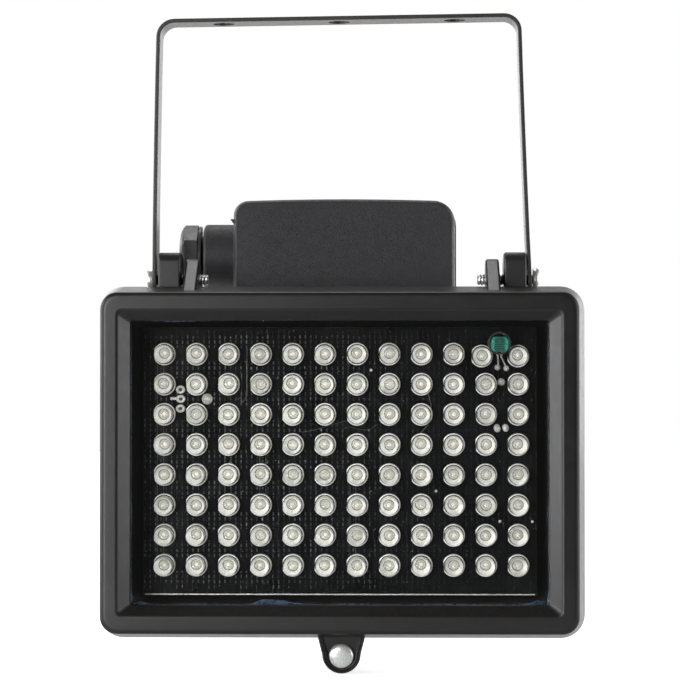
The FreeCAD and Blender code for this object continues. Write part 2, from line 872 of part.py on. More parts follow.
def post_centres():
    half_x, half_z = board_width / 2 - s["post_inset_x"], board_height / 2 - s["post_inset_z"]
    return [(x * half_x, z * half_z) for x in (-1, 1) for z in (-1, 1)]


def box_screw_centres():
    return [(-s["box_screw_x"], s["box_screw_height"]), (s["box_screw_x"], s["box_screw_height"])]


def lug_outline(sketch):
    """Upright plate with a round top about the tilt axis, rooted in the housing's drafted top wall."""
    y, z, radius = s["axis_depth"], axis_height, s["lug_radius"]
    sink = s["housing_wall"] / 2
    return outline(sketch, (y - radius, wall_height_at(y - radius, sink)), [
        (y - radius, z),
        ((y + radius, z), (y, z), True),
        (y + radius, wall_height_at(y + radius, sink)),
        (y - radius, wall_height_at(y - radius, sink)),
    ])


def rim_gasket():
    """Flat rubber ring on the housing's rim."""
    body = new_body("rim_gasket")
    outer = rounded(front_sketch(body, "gasket", skirt_floor), rim_width, rim_height, rim_corner)
    pad(body, outer, s["gasket_thickness"], flipped=True)
    inner = rounded(
        front_sketch(body, "gasket_hole", skirt_floor),
        rim_width - 2 * s["housing_wall"], rim_height - 2 * s["housing_wall"],
        rim_corner - s["housing_wall"],
    )
    pocket(body, inner, 2 * s["gasket_thickness"])
    return body


def circuit_board():
    """Glass-fibre board, bonded to the housing's posts."""
    body = new_body("circuit_board", (s["board_shift_x"], LAMP[1], LAMP[2] + s["board_shift_z"]))
    edge = rectangle(
        front_sketch(body, "board", s["board_depth"]),
        -board_width / 2, -board_height / 2, board_width / 2, board_height / 2,
    )
    pad(body, edge, s["board_thickness"], flipped=True)
    return body


def board_bonds():
    """Silicone dabs between the posts and the board."""
    half, end = s["post_width"] / 2, board_back + s["bond_thickness"]
    return new_feature("board_bonds", [
        block((x - half, board_back, z - half), (x + half, end, z + half)) for x, z in post_centres()
    ])


def led_solid():
    """Emitter with its flange, barrel and domed tip, as a few-sided solid that faces the front."""
    sides = int(s["led_sides"].value)
    shoulder, tip = s["board_depth"] - s["led_flange_height"], s["board_depth"] - s["led_height"]
    levels = [
        (s["led_flange_radius"], s["board_depth"]),
        (s["led_lens_radius"], shoulder),
        (s["led_lens_radius"], tip + s["led_dome_height"]),
        (s["led_dome_radius"], tip),
    ]
    rings = [
        [
            FreeCAD.Vector(radius.value * math.cos(angle), depth.value, radius.value * math.sin(angle))
            for angle in ((i + 1 / 2) * 2 * math.pi / sides for i in range(sides + 1))
        ]
        for radius, depth in levels
    ]
    faces = [Part.Face(Part.makePolygon(ring)) for ring in (rings[0], rings[-1])]
    for low, high in zip(rings, rings[1:]):
        for i in range(sides):
            corners = [low[i], low[i + 1], high[i + 1], high[i], low[i]]
            faces.append(Part.Face(Part.makePolygon(corners)))
    shell = Part.makeShell(faces)
    shell.sewShape()
    return Part.makeSolid(shell)


def led_places():
    """Centres of the emitters, the two beside the light sensor pushed aside."""
    columns, rows = int(s["led_columns"].value), int(s["led_rows"].value)
    for row in range(rows):
        for column in range(columns):
            x = s["led_shift_x"] + led_pitch_x * (column - (columns - 1) / 2)
            z = s["led_shift_z"] + led_pitch_z * ((rows - 1) / 2 - row)
            if row == 0 and column == columns - 2:
                x = x - s["led_push_x"]
                z = z - s["led_push_z"]
            if row == 0 and column == columns - 1:
                z = z - s["led_push_z"]
            yield x, z


def ir_leds():
    """Twelve columns and eight rows of clear emitters."""
    model = led_solid()
    return new_feature("ir_leds", [
        model.translated(FreeCAD.Vector(x.value, 0, z.value)) for x, z in led_places()
    ])


def light_sensor():
    """Photoresistor: a round ceramic cell on two leads that splay from the board."""
    x, z, face = sensor_x, sensor_z, s["sensor_depth"]
    rear = face + s["sensor_thickness"]
    cell = bar((x, face, z), (x, rear, z), s["sensor_radius"], s["small_round_sides"])
    for side in (-1, 1):
        pad_x = x + s["sensor_pad_shift"] + side * s["sensor_pad_spacing"] / 2
        pad_point = (pad_x, s["board_depth"], z - s["sensor_pad_drop"])
        top_point = (x + side * s["sensor_lead_spread"] / 2, rear - s["sensor_lead_radius"], z)
        cell = cell.fuse(bar(pad_point, top_point, s["sensor_lead_radius"], s["hexagon_sides"]))
    return new_feature("light_sensor", [cell])


def sensor_sleeve():
    """Black sleeve round the cell, which shades it from the side."""
    x, z = sensor_x, sensor_z
    start = s["sensor_depth"] - s["sleeve_lip"]
    end = start + s["sleeve_length"]
    outer, inner = (
        bar((x, start, z), (x, end, z), radius, s["small_round_sides"])
        for radius in (s["sensor_radius"] + s["sleeve_wall"], s["sensor_radius"])
    )
    return new_feature("sensor_sleeve", [outer.cut(inner)])


def driver_transistor():
    """Flat-packed transistor on three pins, behind the row of three pads."""
    x, z = board_left + s["transistor_inset"], board_top - s["transistor_drop"]
    thick, wide, pin = s["transistor_thickness"] / 2, s["transistor_width"] / 2, s["transistor_pin"] / 2
    start = board_back + s["transistor_standoff"]
    end = housing_floor_depth - s["transistor_clearance"]
    case = block((x - thick, start, z - wide), (x + thick, end, z + wide))
    for step in (-1, 0, 1):
        level = z + step * s["transistor_pin_pitch"]
        case = case.fuse(block((x - pin, board_back, level - pin), (x + pin, start, level + pin)))
    return new_feature("driver_transistor", [case])


def series_resistors():
    """Two axial resistors on bent leads, behind their solder joints."""
    solids = []
    for number in (0, 1):
        x = board_right - s["resistor_inset"] + number * s["resistor_spacing"]
        middle = board_top - s["resistor_drop"]
        half, pin = s["resistor_lead_span"] / 2, s["resistor_lead"] / 2
        y = board_back + s["resistor_radius"]
        length = s["resistor_length"] / 2
        solid = bar(
            (x, y, middle - length), (x, y, middle + length), s["resistor_radius"], s["hexagon_sides"]
        )
        for side in (-1, 1):
            end = middle + side * half
            low, high = (middle, end + pin) if side > 0 else (end - pin, middle)
            solid = solid.fuse(block((x - pin, y - pin, low), (x + pin, y + pin, high)))
            solid = solid.fuse(block((x - pin, board_back, end - pin), (x + pin, y, end + pin)))
        solids.append(solid)
    return new_feature("series_resistors", solids)


def junction_box():
    """Moulded wiring box, open at the back, with a gland boss on its left side."""
    middle_depth = s["housing_back_depth"]
    body = new_body("junction_box", (as_size(0), LAMP[1] + middle_depth, LAMP[2] + box_middle))
    left, right = s["box_corner_left"], s["box_corner_right"]
    shell = rounded(front_sketch(body, "shell", 0), s["box_width"], box_height, left, right, s["box_crown"])
    pad(body, shell, s["box_depth"], flipped=True)
    bevel_edges(body, "front_bevel", s["box_edge_bevel"], lies_at_depth(0))

    wall = s["box_wall"]
    gland = (gland_depth - middle_depth, s["gland_height"] - box_middle)
    inner_face = s["box_width"] / 2 - wall / 2
    boss = circles(side_sketch(body, "gland_boss", -inner_face), [gland], s["gland_boss_radius"])
    pad(body, boss, s["gland_boss_end"] - inner_face, flipped=True)

    hollow = rounded(
        front_sketch(body, "hollow", s["box_depth"]), s["box_width"] - 2 * wall, box_height - 2 * wall,
        left - wall / 2, right - wall / 2,
    )
    pocket(body, hollow, s["box_depth"] - wall, flipped=True)
    half = s["box_post_width"] / 2
    for number, (x, z) in enumerate(lid_screw_centres()):
        post = rectangle(
            front_sketch(body, f"lid_post_{number}", wall), x - half, z - half, x + half, z + half
        )
        pad(body, post, s["box_depth"] - wall, flipped=True)
    threads = polygons(
        front_sketch(body, "lid_threads", s["box_depth"]),
        lid_screw_centres(), s["lid_screw_radius"], s["hexagon_sides"],
    )
    pocket(body, threads, s["lid_screw_length"], flipped=True)

    bore_radius = s["gland_neck_radius"] + s["slip_fit"]
    bore = circles(side_sketch(body, "gland_bore", -s["gland_boss_end"]), [gland], bore_radius)
    pocket(body, bore, s["gland_boss_end"] - s["box_width"] / 2 + 2 * wall, flipped=True)

    holes = [(x, z - box_middle) for x, z in box_screw_centres()]
    way_radius = s["box_screw_radius"] + s["screw_clearance"]
    ways = polygons(front_sketch(body, "box_screw_ways", 0), holes, way_radius, s["hexagon_sides"])
    pocket(body, ways, 2 * wall)
    passage = polygons(
        front_sketch(body, "lead_way", 0),
        [(0, s["lead_hole_height"] - box_middle)], s["grommet_radius"], s["small_round_sides"],
    )
    pocket(body, passage, 2 * wall)

    level, size = s["box_top"] - s["nib_drop"] - box_middle, s["nib_size"]
    inner, outer = s["nib_length"] - s["box_width"] / 2, -s["nib_length"] - s["box_width"] / 2
    nib = outline(front_sketch(body, "nib", s["box_edge_bevel"]), (inner, level - size / 2), [
        (inner, level + size / 2),
        (outer, level + size / 2),
        (inner, level - size / 2),
    ])
    pad(body, nib, size, flipped=True)
    return body


def lid_screw_centres():
    """Screws at the box's corners, counted from its middle."""
    x = s["box_width"] / 2 - s["lid_screw_inset"]
    z = box_height / 2 - s["lid_screw_inset"]
    return [(i * x, j * z) for i in (-1, 1) for j in (-1, 1)]


def box_seal():
    """Foam ring between the box and its lid."""
    body = new_body("box_seal", (as_size(0), LAMP[1], LAMP[2] + box_middle))
    inset = (s["box_wall"] - s["seal_width"]) / 2
    for name, edge, work in (("seal", inset, pad), ("seal_hole", inset + s["seal_width"], pocket)):
        ring = rounded(
            front_sketch(body, name, box_back), s["box_width"] - 2 * edge, box_height - 2 * edge,
            s["box_corner_left"] - edge, s["box_corner_right"] - edge,
        )
        work(body, ring, s["seal_thickness"], flipped=work is pad)
    return body


def box_lid():
    """Moulded lid at the back, a little larger than the box."""
    body = new_body("box_lid", (as_size(0), LAMP[1], LAMP[2] + box_middle))
    width, height = s["box_width"] + 2 * s["lid_overhang"], box_height + 2 * s["lid_overhang"]
    plate = rounded(
        front_sketch(body, "lid", lid_front), width, height,
        s["box_corner_left"] + s["lid_overhang"], s["box_corner_right"] + s["lid_overhang"], s["box_crown"],
    )
    pad(body, plate, s["lid_thickness"], flipped=True)
    bevel_edges(body, "lid_bevel", s["lid_edge_bevel"], lies_at_depth(lid_back))
    holes = polygons(
        front_sketch(body, "lid_holes", lid_front),
        lid_screw_centres(), s["lid_screw_radius"] + s["screw_clearance"], s["hexagon_sides"],
    )
    pocket(body, holes, 2 * s["lid_thickness"])
    return body


def screw(x, z, seat, head_radius, head_height, shank_radius, length):
    """Hexagon-head screw: its head stands behind the seat, and its shank goes towards the front."""
    head = bar((x, seat, z), (x, seat + head_height, z), head_radius, s["hexagon_sides"])
    return head.fuse(bar((x, seat, z), (x, seat - length, z), shank_radius, s["hexagon_sides"]))


def box_lid_screws():
    return new_feature("box_lid_screws", [
        screw(
            x, z + box_middle, lid_back, s["lid_head_radius"], s["lid_head_height"],
            s["lid_screw_radius"], s["lid_screw_length"],
        )
        for x, z in lid_screw_centres()
    ])


def box_screws():
    """Screws from inside the box into the housing's back."""
    return new_feature("box_screws", [
        screw(
            x, z, box_front_inside, s["box_screw_head_radius"], s["box_screw_head_height"],
            s["box_screw_radius"], s["box_wall"] + s["box_screw_grip"],
        )
        for x, z in box_screw_centres()
    ])


def lead_grommet():
    """Rubber bush where the leads cross from the housing to the box."""
    z = s["lead_hole_height"]
    end = box_front_inside + s["grommet_stand"]
    sleeve, bore = (
        bar((0, housing_floor_depth, z), (0, end, z), radius, s["small_round_sides"])
        for radius in (s["grommet_radius"], s["grommet_radius"] - s["grommet_wall"])
    )
    return new_feature("lead_grommet", [sleeve.cut(bore)])


def power_leads():
    """Two leads from the board's back, through the grommet and up to the terminals."""
    solids = []
    low, turn_depth = s["lead_hole_height"], lead_turn_depth
    mitred_corners = 1
    for side in (-1, 1):
        x = side * s["lead_spacing"] / 2
        spread = side * s["terminal_pitch"] / 2
        stops = [
            (x, board_back, low),
            (x, turn_depth - s["lead_bend"], low),
            (x, turn_depth, low + s["lead_bend"]),
            (spread, turn_depth, low + s["lead_rise"]),
            (spread, turn_depth, s["terminal_height"] - s["terminal_tall"] / 2),
        ]
        corners = [FreeCAD.Vector(*(as_size(part).value for part in stop)) for stop in stops]
        route = Part.makePolygon(corners)
        end = polygon(stops[0], stops[1], s["lead_radius"], s["hexagon_sides"])
        solids.append(route.makePipeShell([end], True, False, mitred_corners))
    return new_feature("power_leads", solids)


def terminal_block():
    """Two-way terminal block on the box's front wall."""
    half, tall = s["terminal_width"] / 2, s["terminal_tall"] / 2
    z, rear = s["terminal_height"], box_front_inside + s["terminal_depth"]
    entry_size = (s["terminal_entry_radius"], s["hexagon_sides"])
    solid = block((-half, box_front_inside, z - tall), (half, rear, z + tall))
    for side in (-1, 1):
        x = side * s["terminal_pitch"] / 2
        floor = rear - s["terminal_screw_well"]
        well = bar((x, floor, z), (x, rear, z), s["terminal_screw_radius"], s["hexagon_sides"])
        entry = bar((x, lead_turn_depth, z - tall), (x, lead_turn_depth, z), *entry_size)
        solid = solid.cut(well).cut(entry)
    return new_feature("terminal_block", [solid])


def terminal_screws():
    """Screws at the bottom of the terminal block's wells."""
    start = box_front_inside + s["terminal_depth"] - s["terminal_screw_well"]
    end = start + s["terminal_screw_length"]
    radius = s["terminal_screw_radius"] - s["slip_fit"]
    z = s["terminal_height"]
    places = [side * s["terminal_pitch"] / 2 for side in (-1, 1)]
    return new_feature("terminal_screws", [
        bar((x, start, z), (x, end, z), radius, s["hexagon_sides"]) for x in places
    ])


def gland_rod(start, end, radius):
    """A cylinder along the gland's axis between two distances to the left of the middle."""
    y, z = gland_depth, s["gland_height"]
    return rod((-start, y, z), (-end, y, z), radius)


def gland_body():
    """Tube through the boss, which carries nut and washer."""
    start, end = s["gland_body_start"], s["gland_body_end"]
    bore = gland_rod(start, end, s["gland_mouth_radius"] + s["slip_fit"])
    return new_feature("gland_body", [gland_rod(start, end, s["gland_neck_radius"]).cut(bore)])


def gland_bar(start, end, radius, sides):
    """A few-sided bar along the gland's axis between two distances to the left of the middle."""
    y, z = gland_depth, s["gland_height"]
    return bar((-start, y, z), (-end, y, z), radius / cos_of(as_size(180) / sides), sides)


def gland_washer():
    """Thin black washer between boss and nut."""
    start = s["gland_boss_end"] + s["washer_gap"]
    end = start + s["washer_thickness"]
    hole = gland_bar(start, end, s["gland_neck_radius"] + s["slip_fit"], s["small_round_sides"])
    return new_feature("gland_washer", [
        gland_bar(start, end, s["washer_radius"], 2 * s["small_round_sides"]).cut(hole)
    ])


def gland_nut():
    """Six-sided compression nut with a lip over the tube's end."""
    start = s["gland_boss_end"] + s["washer_gap"] + s["washer_thickness"] + s["nut_gap"]
    nut = gland_bar(start, s["nut_end"], s["nut_across_flats"] / 2, s["hexagon_sides"])
    mouth = gland_bar(start, s["nut_end"], s["gland_cable_radius"], s["small_round_sides"])
    hollow = gland_bar(
        start, s["nut_end"] - s["nut_lip"], s["gland_neck_radius"] + s["slip_fit"], s["small_round_sides"]
    )
    return new_feature("gland_nut", [nut.cut(mouth).cut(hollow)])


def gland_bush():
    """Rubber sleeve in the tube's mouth; it grips the cable."""
    start = s["gland_body_end"] - s["gland_mouth_depth"]
    end = s["gland_body_end"]
    outer = gland_rod(start, end, s["gland_mouth_radius"])
    return new_feature("gland_bush", [outer.cut(gland_rod(start, end, s["bush_bore_radius"]))])


def check_and_write(nodes):
    """Stops on any failed object, then writes one STEP file for each node."""
    doc.recompute()
    for thing in doc.Objects:
        if "Invalid" in thing.State or "Error" in thing.State:
            raise RuntimeError(f"{thing.Label} failed: {thing.State}")
    for node in nodes:
        if node.Shape.isNull() or not node.Shape.isValid():
            raise RuntimeError(f"{node.Label} has no valid shape")
    os.makedirs("parts", exist_ok=True)
    for node in nodes:
        node.Shape.exportStep(f"parts/{node.Label}.step")
        print(f"{node.Label}: {len(node.Shape.Solids)} solids, {node.Shape.Volume:.1f} cubic mm")


check_and_write([
    mounting_bracket(),
    housing(),
    pivot_screw("pivot_screw_left", -1),
    pivot_screw("pivot_screw_right", 1),
    rim_gasket(),
    circuit_board(),
    board_bonds(),
    ir_leds(),
    light_sensor(),
    sensor_sleeve(),
    driver_transistor(),
    series_resistors(),
    junction_box(),
    box_seal(),
    box_lid(),
    box_lid_screws(),
    box_screws(),
    lead_grommet(),
    power_leads(),
    terminal_block(),
    terminal_screws(),
    gland_body(),
    gland_washer(),
    gland_nut(),
    gland_bush(),
    front_frame(),
    glass_sealant(),
    glass_pane(),
    closing_screw(),
])
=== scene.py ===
import json
import math
import random

import bmesh
import bpy
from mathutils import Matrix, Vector

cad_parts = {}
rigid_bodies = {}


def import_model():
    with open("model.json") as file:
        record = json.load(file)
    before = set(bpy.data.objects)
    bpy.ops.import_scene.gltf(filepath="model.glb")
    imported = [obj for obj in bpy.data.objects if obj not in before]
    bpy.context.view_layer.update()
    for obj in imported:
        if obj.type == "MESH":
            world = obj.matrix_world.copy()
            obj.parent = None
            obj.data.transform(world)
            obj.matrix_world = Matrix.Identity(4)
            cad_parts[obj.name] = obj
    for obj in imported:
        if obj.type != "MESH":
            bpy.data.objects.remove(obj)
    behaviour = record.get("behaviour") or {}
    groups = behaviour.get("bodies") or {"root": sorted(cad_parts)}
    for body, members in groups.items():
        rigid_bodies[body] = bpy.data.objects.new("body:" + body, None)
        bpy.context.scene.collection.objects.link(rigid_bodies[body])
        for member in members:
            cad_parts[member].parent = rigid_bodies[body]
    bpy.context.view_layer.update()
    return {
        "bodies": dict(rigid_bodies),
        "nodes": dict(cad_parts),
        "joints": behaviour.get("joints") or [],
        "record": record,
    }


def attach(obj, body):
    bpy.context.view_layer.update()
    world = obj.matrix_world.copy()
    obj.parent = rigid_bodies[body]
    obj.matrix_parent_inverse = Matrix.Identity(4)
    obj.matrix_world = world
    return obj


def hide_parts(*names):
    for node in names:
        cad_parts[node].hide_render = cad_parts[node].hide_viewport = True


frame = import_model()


# Camera: a long lens in front of the lamp, at the height of its face and a little to its right,
# aimed at the middle of the lamp and its bracket.
camera = bpy.data.objects.new("camera", bpy.data.cameras.new("camera"))
camera.data.sensor_width = 36
camera.data.lens = 151.9
camera.data.clip_start = 0.01
camera.location = (0.0144, -0.720, -0.0966)
aim = Vector((-0.00023, -0.020, -0.0820)) - camera.location
camera.rotation_euler = aim.to_track_quat("-Z", "Y").to_euler()
bpy.context.scene.collection.objects.link(camera)
bpy.context.scene.camera = camera


# Studio: a white floor under the lamp, a white room behind it and a dimmer one in front, with
# three soft boxes round the front and one above, which light the edges of the castings.
def node(tree, kind, inputs=(), **settings):
    """Adds a shader node; a value is set on its socket and an output is wired to it."""
    made = tree.nodes.new("ShaderNode" + kind)
    for name, value in settings.items():
        setattr(made, name, value)
    for socket, value in dict(inputs).items():
        if isinstance(value, bpy.types.NodeSocket):
            tree.links.new(value, made.inputs[socket])
        else:
            made.inputs[socket].default_value = value
    return made


def maths(tree, operation, first, second=0.0, clamp=False):
    return node(tree, "Math", {0: first, 1: second}, operation=operation, use_clamp=clamp).outputs[0]


def times(tree, first, second, clamp=False):
    return maths(tree, "MULTIPLY", first, second, clamp)


def span(tree, value, low, high, start=0.0, end=1.0):
    """A value that runs from start to end while the given one runs from low to high."""
    inputs = {"Value": value, "From Min": low, "From Max": high, "To Min": start, "To Max": end}
    return node(tree, "MapRange", inputs, interpolation_type="SMOOTHSTEP").outputs["Result"]


def parts_of(tree, vector):
    return node(tree, "SeparateXYZ", {0: vector}).outputs


def shade(red, green, blue):
    """A colour as a picture shows it, 0 to 255, turned into light values."""
    levels = [part / 255 for part in (red, green, blue)]
    return [part / 12.92 if part <= 0.04045 else ((part + 0.055) / 1.055) ** 2.4 for part in levels] + [1.0]


def new_finish(name, **values):
    """A material whose plain values are set on its shader's own sockets."""
    material = bpy.data.materials.new(name)
    material.use_nodes = True
    shader = material.node_tree.nodes["Principled BSDF"]
    for label, value in values.items():
        shader.inputs[label.replace("_", " ")].default_value = value
    return material, material.node_tree, shader


def wire(tree, shader, **sources):
    """Feeds sockets of the shader with values that vary over the surface."""
    for label, source in sources.items():
        tree.links.new(source, shader.inputs[label.replace("_", " ")])


def studio_room():
    """White paper behind the lamp, bright walls at both sides, a lit ceiling and a dim front."""
    world = bpy.data.worlds.new("studio")
    bpy.context.scene.world = world
    world.use_nodes = True
    tree = world.node_tree
    where = node(tree, "TexCoord").outputs["Generated"]
    axes = parts_of(tree, where)

    def panel(way, outer, inner, level):
        """A soft bright patch round one direction; outer and inner are cosines from it."""
        near = node(tree, "VectorMath", {0: where, 1: Vector(way).normalized()}, operation="DOT_PRODUCT")
        return span(tree, near.outputs["Value"], outer, inner, 0.0, level)

    paper = times(tree, panel((0, 1, 0), 0.86, 0.95, 1.9), span(tree, axes["Z"], 0.14, 0.42, 1.0, 0.0))
    dimness = 0.06
    strength = maths(tree, "ADD", paper, dimness)
    for patch in (
        ((-1, -0.05, 0.1), 0.55, 0.85, 0.9), ((1, 0, 0.1), 0.55, 0.85, 0.7),
        ((-0.82, 0.57, 0.04), 0.84, 0.95, 1.9), ((0.82, 0.57, 0.04), 0.84, 0.95, 0.7),
        ((-0.10, 0.60, 0.79), 0.93, 0.98, 0.8), ((-0.36, 0.88, 0.30), 0.93, 0.985, 1.5),
        ((0.42, 0.90, 0.0), 0.95, 0.985, 0.8),
    ):
        strength = maths(tree, "ADD", panel(*patch), strength)
    light_path = node(tree, "LightPath").outputs
    around = span(tree, axes["Y"], -0.93, -0.70)
    strength = maths(tree, "MAXIMUM", strength, times(tree, light_path["Is Transmission Ray"], around))
    camera_sees = light_path["Is Camera Ray"]
    lit = times(tree, strength, maths(tree, "SUBTRACT", 1.0, camera_sees))
    background = tree.nodes["Background"]
    background.inputs["Color"].default_value = (1, 1, 1, 1)
    wire(tree, background, Strength=maths(tree, "ADD", lit, camera_sees))


def soft_box(name, place, width, height, power):
    light = bpy.data.lights.new(name, "AREA")
    light.shape = "RECTANGLE"
    light.size, light.size_y = width, height
    light.energy = power
    thing = bpy.data.objects.new(name, light)
    thing.location = place
    thing.rotation_euler = (Vector((0, 0, -0.10)) - Vector(place)).to_track_quat("-Z", "Y").to_euler()
    bpy.context.scene.collection.objects.link(thing)


def floor_paper():
    """White paper that the camera sees as white, and that shows the lamp's shadow."""
    material, tree, shader = new_finish(
        "floor_paint", Roughness=0.9, Base_Color=(0.9, 0.9, 0.9, 1), Emission_Color=(1, 1, 1, 1)
    )
    seen = node(tree, "LightPath").outputs
    back = span(tree, parts_of(tree, node(tree, "TexCoord").outputs["Object"])["Y"], -0.02, 0.04)
    glow = maths(tree, "MAXIMUM", seen["Is Glossy Ray"], seen["Is Transmission Ray"])
    glow = maths(tree, "MAXIMUM", times(tree, glow, back), seen["Is Camera Ray"])
    wire(tree, shader, Emission_Strength=times(tree, glow, 0.75))
    return material


studio_room()
for box in (
    ("soft_box_left", (-0.93, -0.33, 0.06), 0.42, 0.80, 6.2),
    ("soft_box_right", (0.93, -0.30, 0.04), 0.42, 0.70, 3.3),
    ("soft_box_key", (-0.40, -1.02, -0.02), 0.25, 0.50, 4.6),
    ("ceiling_box", (-0.12, 0.50, 0.88), 0.60, 0.24, 1.8),
):
    soft_box(*box)

FLOOR_LEVEL = -0.1640
floor_mesh = bmesh.new()
floor_points = [(-3, -0.17), (3, -0.17), (3, 3), (-3, 3)]
floor_mesh.faces.new([floor_mesh.verts.new((x, y, FLOOR_LEVEL)) for x, y in floor_points])
floor_data = bpy.data.meshes.new("floor")
floor_mesh.to_mesh(floor_data)
floor = bpy.data.objects.new("floor", floor_data)
bpy.context.scene.collection.objects.link(floor)
floor_data.materials.append(floor_paper())


# Mounting bracket: steel strip, 10 mm wide, cut with round ends, punched for its screws,
# bent to a U with arms that spread a little, and painted satin black.
def new_group(name, inputs, outputs):
    """A shader node group with value inputs, given as (name, value), and value outputs."""
    tree = bpy.data.node_groups.new(name, "ShaderNodeTree")
    for label, value in inputs:
        tree.interface.new_socket(label, in_out="INPUT", socket_type="NodeSocketFloat").default_value = value
    for label in outputs:
        tree.interface.new_socket(label, in_out="OUTPUT", socket_type="NodeSocketFloat")
    return tree, tree.nodes.new("NodeGroupInput").outputs, tree.nodes.new("NodeGroupOutput")


def place_group(tree, group, **inputs):
    """The outputs of a node group set down in a material."""
    made = tree.nodes.new("ShaderNodeGroup")
    made.node_tree = group
    for name, value in inputs.items():
        made.inputs[name].default_value = value
    return made.outputs


def millimetres(tree):
    """Coordinates fixed to the piece, in millimetres."""
    where = node(tree, "TexCoord").outputs["Object"]
    return node(tree, "VectorMath", {0: where, "Scale": 1000.0}, operation="SCALE").outputs[0]


def noise(tree, vector, scale, detail, roughness=0.55, distortion=0.0):
    inputs = {"Vector": vector, "Scale": scale, "Detail": detail, "Roughness": roughness, "Distortion": distortion}
    return node(tree, "TexNoise", inputs).outputs["Fac"]


def edge_sheen_and_wear_group():
    """Outer edges, in patches: where paint is worn thin, and on the moulded box also a painted highlight."""
    tree, given, output = new_group("edge sheen and wear", [("Width", 0.0003), ("Spread", 0.5)], ["Mask"])
    rounded_normal = node(tree, "Bevel", {"Radius": given["Width"]}, samples=4).outputs[0]
    plain_normal = node(tree, "NewGeometry").outputs["Normal"]
    match = node(tree, "VectorMath", {0: rounded_normal, 1: plain_normal}, operation="DOT_PRODUCT").outputs["Value"]
    edge = span(tree, maths(tree, "SUBTRACT", 1.0, match), 0.02, 0.28)
    patchy = noise(tree, millimetres(tree), 0.6, 4.0, 0.65)
    gate = span(tree, maths(tree, "ADD", patchy, given["Spread"]), 0.75, 1.15)
    wire(tree, output, Mask=times(tree, edge, gate, clamp=True))
    return tree


def coat_texture_group():
    """The fine peel and the slow unevenness of a sprayed or baked coat."""
    tree, given, output = new_group("coat texture", [("Grain", 3.0), ("Speck", 0.5)], ["Height", "Tone", "Gloss"])
    where = millimetres(tree)
    peel = noise(tree, where, given["Grain"], 4.0, 0.6)
    cells = node(tree, "TexVoronoi", {"Vector": where, "Scale": given["Grain"]}).outputs["Distance"]
    dots = times(tree, span(tree, cells, 0.05, 0.45), given["Speck"])
    slow = noise(tree, where, 0.07, 3.0, 0.6)
    smear = noise(tree, where, 0.5, 3.0, 0.6, 0.6)
    wire(tree, output, Height=maths(tree, "ADD", peel, dots), Tone=slow, Gloss=smear)
    return tree


def settled_dust_group():
    """A thin film of dust on what looks upwards and in corners."""
    tree, given, output = new_group("settled dust", [("Amount", 0.5)], ["Mask"])
    lying = span(tree, parts_of(tree, node(tree, "NewGeometry").outputs["Normal"])["Z"], 0.2, 0.95)
    clumps = span(tree, noise(tree, millimetres(tree), 1.3, 6.0, 0.7), 0.35, 0.75)
    amount = times(tree, times(tree, lying, clumps), given["Amount"])
    wire(tree, output, Mask=amount)
    return tree


EDGE_SHEEN_AND_WEAR = edge_sheen_and_wear_group()
COAT_TEXTURE = coat_texture_group()
SETTLED_DUST = settled_dust_group()


def mix_colours(tree, factor, *colours):
    """Mixes two colours; each is an output or three numbers as a picture shows them."""
    first, second = (tone if isinstance(tone, bpy.types.NodeSocket) else shade(*tone) for tone in colours)
    return node(tree, "Mix", {0: factor, 6: first, 7: second}, data_type="RGBA").outputs[2]


def bump(tree, shader, height, strength, distance):
    made = node(tree, "Bump", {"Height": height, "Strength": strength, "Distance": distance})
    wire(tree, shader, Normal=made.outputs[0])


DUST = (150, 146, 140)


def painted(name, dark, light, worn, gloss, grain, relief, wear, dust, lacquer=0.0):
    """Black coat: two close shades, thinner at the edges, with peel and a little dust."""
    material, tree, shader = new_finish(name, Coat_Weight=lacquer, Coat_Roughness=0.09)
    coat = place_group(tree, COAT_TEXTURE, Grain=grain, Speck=0.4)
    sheen_and_wear = place_group(tree, EDGE_SHEEN_AND_WEAR, Width=0.00035, Spread=wear)["Mask"]
    dusty = place_group(tree, SETTLED_DUST, Amount=dust)["Mask"]
    colour = mix_colours(tree, span(tree, coat["Tone"], 0.35, 0.65), dark, light)
    colour = mix_colours(tree, dusty, mix_colours(tree, sheen_and_wear, colour, worn), DUST)
    rough = span(tree, coat["Gloss"], 0.25, 0.75, gloss - 0.025, gloss + 0.03)
    rough = maths(tree, "ADD", rough, times(tree, dusty, 0.3), clamp=True)
    wire(tree, shader, Base_Color=colour, Roughness=rough)
    bump(tree, shader, coat["Height"], relief, 0.00005)
    return material


strip_paint = painted(
    "strip_paint", (38, 36, 35), (48, 45, 44), (96, 91, 88), 0.44, 2.2, 0.015, 0.42, 0.10, 0.10
)


def skin(mesh, rings, ends=(True, True), loop=False, finish=0):
    """Joins rings of points with faces, each to the next; the end rings are filled if asked."""
    loops = [[mesh.verts.new(point) for point in ring] for ring in rings]
    faces = []
    pairs = list(zip(loops, loops[1:]))
    if loop:
        pairs.append((loops[-1], loops[0]))
    for here, there in pairs:
        for i in range(len(here)):
            faces.append(mesh.faces.new((here[i - 1], here[i], there[i], there[i - 1])))
    if ends[0] and not loop:
        faces.append(mesh.faces.new(loops[0][::-1]))
    if ends[1] and not loop:
        faces.append(mesh.faces.new(loops[-1]))
    for face in faces:
        face.material_index = finish
    return mesh


def spot(axis, along, a, b):
    """A point from its place on an axis and its two places square to it."""
    return {"x": (along, a, b), "y": (a, along, b), "z": (a, b, along)}[axis]


def laid(outline, axis, along):
    """A flat outline set square to an axis."""
    return [spot(axis, along, a, b) for a, b in outline]


def wheel(steps, radius=1.0, start=0.0):
    """Flat points round the origin; the radius is one number or a list of them."""
    turns = [start + 2 * math.pi * i / steps for i in range(steps)]
    radii = radius if isinstance(radius, list) else [radius] * steps
    return [(reach * math.cos(turn), reach * math.sin(turn)) for reach, turn in zip(radii, turns)]


ACROSS = {"x": (1, 2), "y": (0, 2), "z": (0, 1)}


